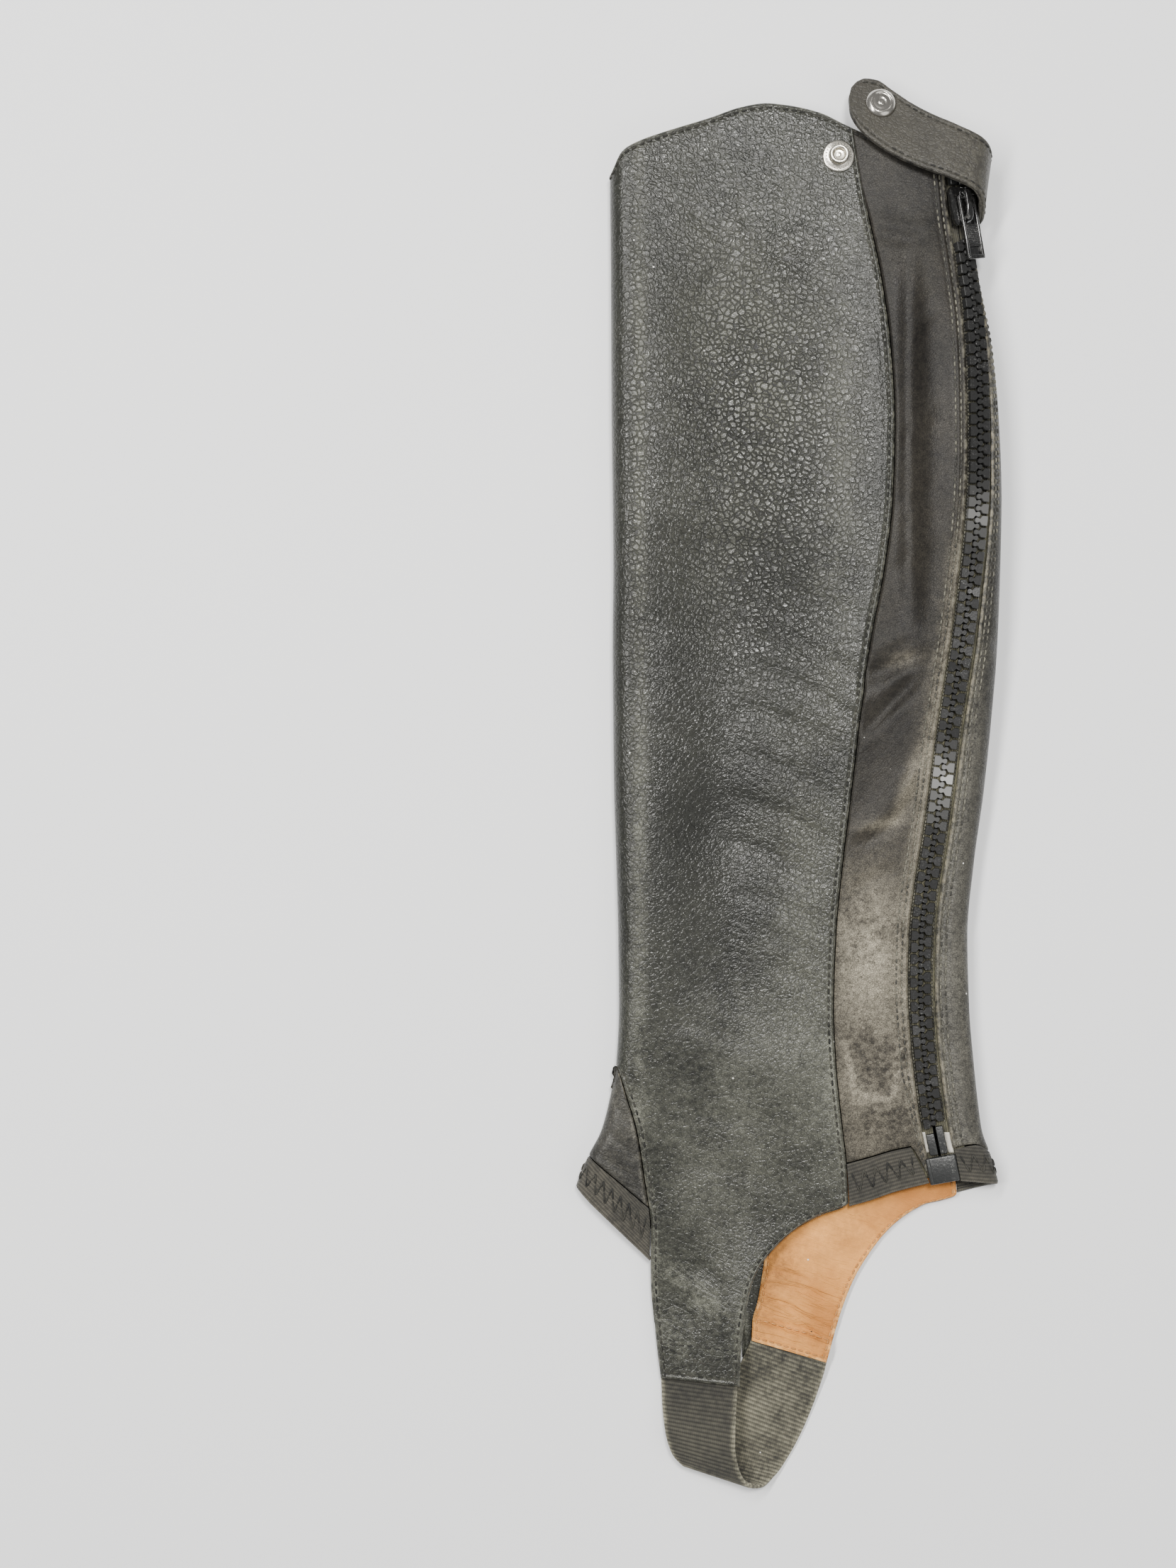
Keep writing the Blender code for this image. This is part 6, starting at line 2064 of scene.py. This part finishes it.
STRAP_RUNGS = table(
    Rung, (123, 388.8, 1.3, 123, 413, 1.3), (133, 388.6, 1.3, 134, 413.6, 1.3),
    (142, 389, 1.4, 145, 415, 1.4), (147.8, 390.2, 5.5, 151.2, 417, 4.8),
    (150, 392.6, 12, 153.6, 419.5, 10.5), (149.4, 397.8, 19.2, 151.8, 422.4, 16.6),
    (145.6, 402.6, 23.2, 147.6, 425.4, 19.2), (136.5, 407, 23.4, 138.8, 429.7, 18.8),
    (126, 411.3, 21.4, 129.6, 434.4, 16.2), (116, 416, 19.4, 121, 439.8, 13.4),
    (107.5, 421.5, 18.4, 113.4, 445.4, 11.8), (101.5, 426.6, 18, 107.4, 449.4, 11.3),
    (97.9, 431.2, 17.2, 102.8, 450, 11.2), (96.1, 436.2, 15.9, 99.5, 448.7, 11.8),
    (95.8, 441.2, 14.3, 97, 446, 12.8),
)
LOOP_RUNGS = table(
    Rung, (19.2, -70, 2.5, 50, -72, 9), (20, -83, 2.4, 50.6, -86, 9.1), (20.4, -93, 3.4, 50, -96, 10.4),
    (21.6, -104, 5.4, 49.6, -109, 12), (24, -112, 6.8, 51.6, -119, 12), (28, -116.6, 6.6, 56, -125, 10),
    (31, -117.4, 4.4, 61, -126.4, 6), (34.5, -114, 1.6, 66.5, -122.8, 2.2),
    (39.6, -104.5, 0.9, 71.6, -116, 0.9), (47.4, -89, 0.9, 79.4, -101, 0.9), (53.8, -74, 2.5, 85, -86, 1.7),
    (56.4, -68, 2.7, 87.2, -78.4, 2.7), (58.4, -62, 2.7, 88.6, -71.5, 2.7),
)


class Ribbon:
    """A band whose rungs give both of its edges, with its normals and lengths."""

    def __init__(self, rungs: Sequence[Rung]) -> None:
        """Fits smooth edges through the rungs."""
        points = np.array([tuple(rung) for rung in rungs])
        middles = (points[:, :3] + points[:, 3:]) / 2.0
        places = lengths_along(middles)
        self.length = float(places[-1])
        self.edges = [Curve(places / places[-1], points[:, i]) for i in range(6)]

    def point(self, share: Array, across: Array) -> Array:
        """Points in the middle of the band's thickness."""
        near = np.stack([self.edges[i](share) for i in range(3)], axis=-1)
        far = np.stack([self.edges[i](share) for i in range(3, 6)], axis=-1)
        return near + (far - near) * np.asarray(across)[..., None]

    def normal(self, share: Array, across: Array) -> Array:
        """Directions out of the band's upper face."""
        step = 0.004
        along = self.point(share + step, across) - self.point(share - step, across)
        over = self.point(share, across + 0.02) - self.point(share, across - 0.02)
        return unit(np.cross(over, along))

    def over(self, share: Array) -> Array:
        """From the band's near edge to its far one."""
        return self.point(share, np.ones_like(share)) - self.point(share, np.zeros_like(share))

    def width(self, share: Array) -> Array:
        """The band's width."""
        return np.linalg.norm(self.over(share), axis=-1)


def closed_band(
    name: str, ribbon: Ribbon, shares: Array, thickness: float, relief: Callable, values: Callable,
    notch: float, columns: int = 22,
) -> Shell:
    """A closed band with a top, a bottom, and edges that a groove parts into two layers.

    Args:
        name: The piece's name.
        ribbon: Its middle.
        shares: Its stations along the ribbon.
        thickness: From face to face.
        relief: A function of share, millimetres from the near and far edge, and face, giving
            how far a face stands out.
        values: A function of the same that gives the named values.
        notch: Depth of the groove between the layers.
        columns: Even columns across each face.

    Returns:
        The shell, woven all round.
    """
    width = ribbon.width(shares)[:, None]
    across = edged_shares(columns, float(width.mean()))
    half = thickness / 2.0
    share = np.repeat(shares[:, None], len(across), axis=1)
    grid = np.repeat(across[None], len(shares), axis=0)
    middle = ribbon.point(share, grid)
    normal = ribbon.normal(share, grid)
    near = grid * width
    far = (1.0 - grid) * width
    rings = []
    marks = []
    for face in (1.0, -1.0):
        edge = np.minimum(near, far)
        lift = half - 0.45 * bell(edge, 0.4) + relief(share, near, far, face)
        rings.append(middle + normal * (face * lift)[..., None])
        marks.append(values(share, near, far, face))
    top, bottom = rings
    sides = []
    for index, sign in ((-1, 1.0), (0, -1.0)):
        outward = sign * unit(ribbon.over(shares))
        place = middle[:, index]
        out = normal[:, index]
        sides.append([
            place + outward * reach + out * height
            for height, reach in (
                (half * 0.5, 0.12), (0.12, 0.08), (0.0, -notch), (-0.12, 0.08), (-half * 0.5, 0.12),
            )
        ])
    right = np.stack(sides[0], axis=1)
    left = np.stack(sides[1], axis=1)[:, ::-1]
    loop = np.concatenate([top, right, bottom[:, ::-1], left], axis=1)
    shell = Shell(name)
    named = {}
    for key in marks[0]:
        first, second = (np.broadcast_to(mark[key], grid.shape) for mark in marks)
        named[key] = np.concatenate([
            first, np.repeat(first[:, -1:], 5, axis=1), second[:, ::-1], np.repeat(first[:, :1], 5, axis=1),
        ], axis=1)
    numbers = shell.add(loop, named)
    shell.weave(np.concatenate([numbers, numbers[:, :1]], axis=1), flipped=True)
    for row, flipped in ((0, False), (-1, True)):
        count = len(across)
        upper = numbers[row, :count]
        lower = numbers[row, count + 5: 2 * count + 5][::-1]
        shell.weave(np.stack([upper, lower]), flipped=flipped)
    return shell


@dataclass
class ClosingStrap:
    """The two-layer strap with its sewing and its snap's cap and socket."""

    stations: int = 190
    flat: tuple[float, float] = (0.026, 0.118)
    snap: tuple[float, float] = (108.5, 438.8)
    seat: float = 0.3
    row_inset: float = 2.0
    row_sunk: float = 0.12

    def build(self, thread: Sewing) -> None:
        """Weaves the strap, sews its long edges and sets its snap.

        Args:
            thread: The sewing that its rows go into.
        """
        ribbon = Ribbon(STRAP_RUNGS)
        shares = np.linspace(0.0, 1.0, self.stations)

        def relief(share: Array, near: Array, far: Array, face: float) -> Array:
            edge = np.minimum(near, far)
            end = (1.0 - share) * ribbon.length
            dip = -0.22 * bell(np.minimum(edge, end), 0.45, 2.0)
            return dip + (0.05 * np.sin(share * 40.0 + near * 0.3) if face > 0.0 else 0.0)

        def values(share: Array, near: Array, far: Array, face: float) -> dict[str, Array]:
            edge = np.minimum(np.minimum(near, far), (1.0 - share) * ribbon.length + 0.2)
            bloom = 0.14 + 0.3 * bell(share, 0.1, 0.45)
            return {"edge": edge, "pebble": 0.5, "crease": 0.3, "dust": bloom}

        shell = closed_band("closing_strap_leather", ribbon, shares, STRAP, relief, values, 0.3)
        piece = shell.build(STRAP_LEATHER)
        dress(piece, "strap_leather", "closing_strap")
        line = np.linspace(0.04, 0.965, 160)
        width = ribbon.width(line)
        for near in (True, False):
            across = self.row_inset / width if near else 1.0 - self.row_inset / width
            normal = ribbon.normal(line, across)
            for out in (normal, -normal):
                thread.row(ribbon.point(line, across) + out * (STRAP / 2.0 - self.row_sunk), out)
        self.set_snap(ribbon)

    def set_snap(self, ribbon: Ribbon) -> None:
        """Sets the cap above the strap and the socket below it.

        Args:
            ribbon: The strap's middle.
        """
        grid = np.array([
            (share, across) for share in np.linspace(0.5, 1.0, 120) for across in np.linspace(0.1, 0.9, 60)
        ])
        points = ribbon.point(grid[:, 0], grid[:, 1])
        best = int(np.argmin(np.hypot(points[:, 0] - self.snap[0], points[:, 1] - self.snap[1])))
        share, across = grid[best]
        out = ribbon.normal(np.array([share]), np.array([across]))[0]
        along = unit(ribbon.point(share + 0.01, across) - ribbon.point(share - 0.01, across))
        matrix = frame_matrix(points[best], np.cross(along, out), along, out)
        above = STRAP / 2.0 + self.seat
        cap = (
            (6.2, -0.45), (6.3, 0.1), (6.2, 0.5), (5.9, 0.95), (5.3, 1.4), (4.9, 1.75), (4.55, 1.85),
            (4.25, 1.7), (4.05, 1.4), (3.7, 1.25), (3.2, 1.35), (2.4, 1.5), (1.9, 1.5), (1.75, 1.35),
            (1.5, 1.35), (1.35, 1.55), (0.7, 1.65), (0.0, 1.68),
        )
        socket = (
            (6.0, 0.4), (6.05, -0.6), (5.8, -1.4), (5.4, -2.6), (5.1, -3.1), (4.7, -3.2), (4.3, -3.0),
            (4.2, -2.4), (4.1, -1.2), (0.0, -1.0),
        )
        for name, profile, height, finish, node, slot in (
            ("snap_cap_domed", cap, above, CAP_NICKEL, "snap_cap", "dark_nickel"),
            ("snap_socket_rolled", socket, -above, NICKEL, "snap_socket", "nickel"),
        ):
            piece = turned_piece(name, [(r, z + height) for r, z in profile], matrix, finish)
            dress(piece, slot, node)


def turned_piece(
    name: str, profile: Sequence[tuple[float, float]], matrix: Matrix, finish: Material,
    steps: int = 64,
) -> Piece:
    """A round piece from a profile of radius and height.

    Args:
        name: The piece's name.
        profile: Points down its side, or up it.
        matrix: Its place in the model.
        finish: Its material.
        steps: Corners in each ring.

    Returns:
        The object.
    """
    surface = bmesh.new()
    rings = []
    for radius, height in profile:
        if radius < 1e-6:
            rings.append([surface.verts.new((0.0, 0.0, height))])
            continue
        turns = np.arange(steps) * math.tau / steps
        rings.append([
            surface.verts.new((radius * math.cos(turn), radius * math.sin(turn), height)) for turn in turns
        ])
    for low, high in zip(rings, rings[1:]):
        for i in range(steps):
            after = (i + 1) % steps
            around = ((low, i), (low, after), (high, after), (high, i))
            surface.faces.new(list(dict.fromkeys(ring[at % len(ring)] for ring, at in around)))
    if len(rings[0]) > 1:
        surface.faces.new(rings[0][::-1])
    return baked_piece(name, surface, matrix, finish, 50.0)


@dataclass
class SnapStud:
    """The stud on the main panel: an embossed flange, a neck and a hollow post."""

    x: float = 92.0
    y: float = 418.5
    seat: float = 0.4
    beads: int = 26
    bead_ring: float = 5.05
    bead_height: float = 0.78
    bead_radius: float = 0.34

    def build(self) -> None:
        """Turns the stud and rings its flange with beads."""
        y = np.array([self.y])
        distance = SKIN.front(y, np.array([self.x]))
        out = SKIN.normal(y, distance)[0]
        across = unit(np.cross((0.0, 1.0, 0.0), out))
        matrix = frame_matrix(SKIN.point(y, distance)[0], across, np.cross(out, across), out)
        profile = [(r, z + self.seat) for r, z in (
            (6.4, -0.4), (6.5, 0.1), (6.45, 0.45), (6.2, 0.65), (5.8, 0.72), (4.3, 0.95), (3.8, 1.2),
            (3.55, 1.7), (3.5, 2.6), (3.75, 3.4), (3.95, 4.1), (3.85, 4.7), (3.5, 5.0), (3.0, 5.05),
            (2.6, 4.85), (2.35, 4.4), (2.2, 3.0), (2.0, 2.4), (1.2, 2.3), (1.1, 2.9), (0.6, 3.1),
            (0.0, 3.1),
        )]
        piece = turned_piece("snap_stud_turned", profile, matrix, NICKEL)
        dress(piece, "nickel", "snap_stud")
        surface = bmesh.new()
        height = self.bead_height + self.seat
        for i in range(self.beads):
            turn = i * math.tau / self.beads
            middle = (self.bead_ring * math.cos(turn), self.bead_ring * math.sin(turn), height)
            bmesh.ops.create_uvsphere(
                surface, u_segments=8, v_segments=6, radius=self.bead_radius,
                matrix=Matrix.Translation(middle),
            )
        dress(baked_piece("snap_stud_beads", surface, matrix, NICKEL, 60.0), "nickel")


@dataclass
class TongueLining:
    """The tan lining of the rear tongue, raised at its end over the stirrup elastic."""

    rows: int = 110
    columns: int = 64
    holes: tuple[tuple[float, float], ...] = ((71.5, -63.5), (82.0, -63.0))
    row_inset: float = 1.8
    cross_row: float = 9.5
    flat: tuple[float, float] = (0.078, 0.08)
    flat_area: float = 0.0037

    def build(self, thread: Sewing) -> None:
        """Weaves the lining and sews its edges.

        Args:
            thread: The tan sewing.
        """
        share = edged_shares(self.rows, 100.0)
        near = outline(LINING_SHIN)(share)
        far = outline(LINING_HEEL)(share)
        part = edged_shares(self.columns, 45.0)
        plan = near[:, None] + (far - near)[:, None] * part[None, :, None]
        x, y = plan[..., 0], plan[..., 1]
        end = np.array(LINING_SHIN[-1])
        run = unit(np.array(LINING_HEEL[-1]) - end)
        inset = run[0] * (y - end[1]) - run[1] * (x - end[0])
        z = 2.7 + 2.2 * smooth_step((10.5 - inset) / 4.5)
        patch = Patch(np.concatenate([plan, z[..., None]], axis=-1)[::-1])
        edge = patch.edge(Side.LEFT, Side.RIGHT, Side.LOW)
        relief = 2.2 * crease_relief(LINING_CREASES, patch.x, patch.y)
        relief = relief - 0.35 * bell(edge, 0.5) + furrow(edge, self.row_inset, 0.2)
        for hole_x, hole_y in self.holes:
            relief -= 0.6 * np.exp(-(((patch.x - hole_x) ** 2 + (patch.y - hole_y) ** 2) / 0.35))
        piece = woven("tongue_lining_leather", patch, relief, {
            "edge": edge, "pebble": 0.1, "crease": 0.35 + 0.55 * smooth_step((-30.0 - patch.y) / 20.0),
            "dust": np.clip(0.1 + 1.3 * blob_mask(LINING_DUST, patch.x, patch.y), 0.0, 1.0),
        }, TAN_LINING, 1.0)
        rows = [(side, self.row_inset) for side in (Side.LEFT, Side.RIGHT, Side.LOW)]
        for side, inset in (*rows, (Side.LOW, self.cross_row)):
            thread.beside(patch, side, inset, slice(4, -4), pitch=3.0)
        dress(piece, "tan_lining", "tongue_lining")


@dataclass
class StirrupLoop:
    """The ribbed elastic loop from the front tongue to the rear tongue."""

    thickness: float = 1.8
    rib: float = 1.72
    steps_a_rib: int = 6
    rib_height: float = 0.28
    flat: tuple[float, float] = (0.032, 0.152)

    def build(self) -> None:
        """Weaves the loop with its cross ribs raised."""
        ribbon = Ribbon(LOOP_RUNGS)
        ribs = round(ribbon.length / self.rib)
        shares = np.linspace(0.0, 1.0, ribs * self.steps_a_rib + 1)

        def wave(share: Array) -> Array:
            return np.abs(np.sin(share * ribs * math.pi)) ** 0.7

        def relief(share: Array, near: Array, far: Array, face: float) -> Array:
            return self.rib_height * (wave(share) - 0.6)

        def values(share: Array, near: Array, far: Array, face: float) -> dict[str, Array]:
            rear = smooth_step((share - 0.4) / 0.1) * smooth_step((0.86 - share) / 0.1)
            worn = 0.06 + (0.95 * rear if face < 0.0 else 0.26) * (0.35 + 0.65 * wave(share))
            worn = worn + 0.35 * bell(np.minimum(near, far), 1.2)
            return {"along": near, "across": share * ribbon.length / 2.3, "dust": np.clip(worn, 0.0, 1.0)}

        shell = closed_band(
            "stirrup_loop_elastic", ribbon, shares, self.thickness, relief, values, 0.05, 26
        )
        piece = shell.build(LOOP_ELASTIC)
        dress(piece, "loop_elastic", "stirrup_loop")


@dataclass
class Studio:
    """The floor, the lights and the camera straight above."""

    picture_height: float = 0.6415
    camera_x: float = -0.0819
    camera_y: float = 0.0006
    camera_rise: float = 1.11
    sheet_height: float = 0.01
    sensor: float = 24.0
    floor_reach: float = 4.0
    floor_drop: float = 0.0002

    def build(self) -> None:
        """Makes everything that isn't the half chap."""
        self.build_floor()
        self.build_lights()
        self.build_camera()

    def build_floor(self) -> None:
        """A plain pale floor."""
        made, graph, shader = new_material("pale_floor")
        graph.feed(shader, {"Base Color": (0.86, 0.87, 0.885, 1.0), "Roughness": 0.9})
        mesh = bpy.data.meshes.new("floor")
        reach, below = self.floor_reach, -self.floor_drop
        corners = [(x * reach, y * reach, below) for x, y in ((-1, -1), (1, -1), (1, 1), (-1, 1))]
        mesh.from_pydata(corners, [], [(0, 1, 2, 3)])
        mesh.materials.append(made)
        floor = bpy.data.objects.new("floor", mesh)
        bpy.context.scene.collection.objects.link(floor)

    @staticmethod
    def area_light(name: str, place: Sequence[float], aim: Sequence[float], size: Sequence[float],
                   power: float) -> None:
        """One soft box of light."""
        lamp = bpy.data.lights.new(name, "AREA")
        lamp.shape = "RECTANGLE"
        lamp.size, lamp.size_y = size
        lamp.energy = power
        lamp.color = (1.0, 0.985, 0.955)
        light = bpy.data.objects.new(name, lamp)
        light.location = place
        light.rotation_euler = (Vector(aim) - Vector(place)).to_track_quat("-Z", "Y").to_euler()
        bpy.context.scene.collection.objects.link(light)

    def build_lights(self) -> None:
        """Soft boxes above, and a pale world."""
        self.area_light("key", (-0.7, 0.4, 1.3), (0.0, 0.1, 0.0), (1.4, 0.16), 30.0)
        self.area_light("overhead", (0.09, 0.42, 1.7), (0.0, 0.12, 0.0), (0.26, 0.34), 27.0)
        self.area_light("fill", (1.0, -0.7, 1.2), (0.0, 0.0, 0.0), (1.2, 1.2), 7.0)
        world = bpy.data.worlds.new("studio")
        world.use_nodes = True
        sky = world.node_tree.nodes["Background"]
        sky.inputs["Color"].default_value = (1.0, 1.0, 1.0, 1.0)
        sky.inputs["Strength"].default_value = 0.32
        bpy.context.scene.world = world

    def build_camera(self) -> None:
        """The camera straight above the middle of the photo."""
        lens = bpy.data.cameras.new("camera")
        lens.sensor_fit = "VERTICAL"
        lens.sensor_height = self.sensor
        lens.lens = self.sensor * (self.camera_rise - self.sheet_height) / self.picture_height
        camera = bpy.data.objects.new("camera", lens)
        camera.location = (self.camera_x, self.camera_y, self.camera_rise)
        bpy.context.scene.collection.objects.link(camera)
        bpy.context.scene.camera = camera


def main() -> None:
    """Builds every piece of the half chap, then the studio round it."""
    logging.basicConfig(level=logging.INFO, format="%(message)s")
    Studio().build()
    dark = Sewing("dark_stitching", DARK_THREAD)
    dusty = Sewing("zip_stitching", DUSTY_THREAD)
    tan = Sewing("lining_stitching", TAN_THREAD)
    for part, threads in (
        (MainPanel(), (dark,)), (StretchPanel(), (dark, dusty)), (BackPanel(), (dark, dusty)),
        (AnkleGusset(), (dark,)), (Zip(), (dusty,)), (ZipSlider(), ()), (ClosingStrap(), (dark,)),
        (SnapStud(), ()), (TongueLining(), (tan,)), (StirrupLoop(), ()),
    ):
        part.build(*threads)
        log.info("built %s", type(part).__name__)
    for sewing in (dark, dusty, tan):
        sewing.build()


if __name__ == "__main__":
    main()
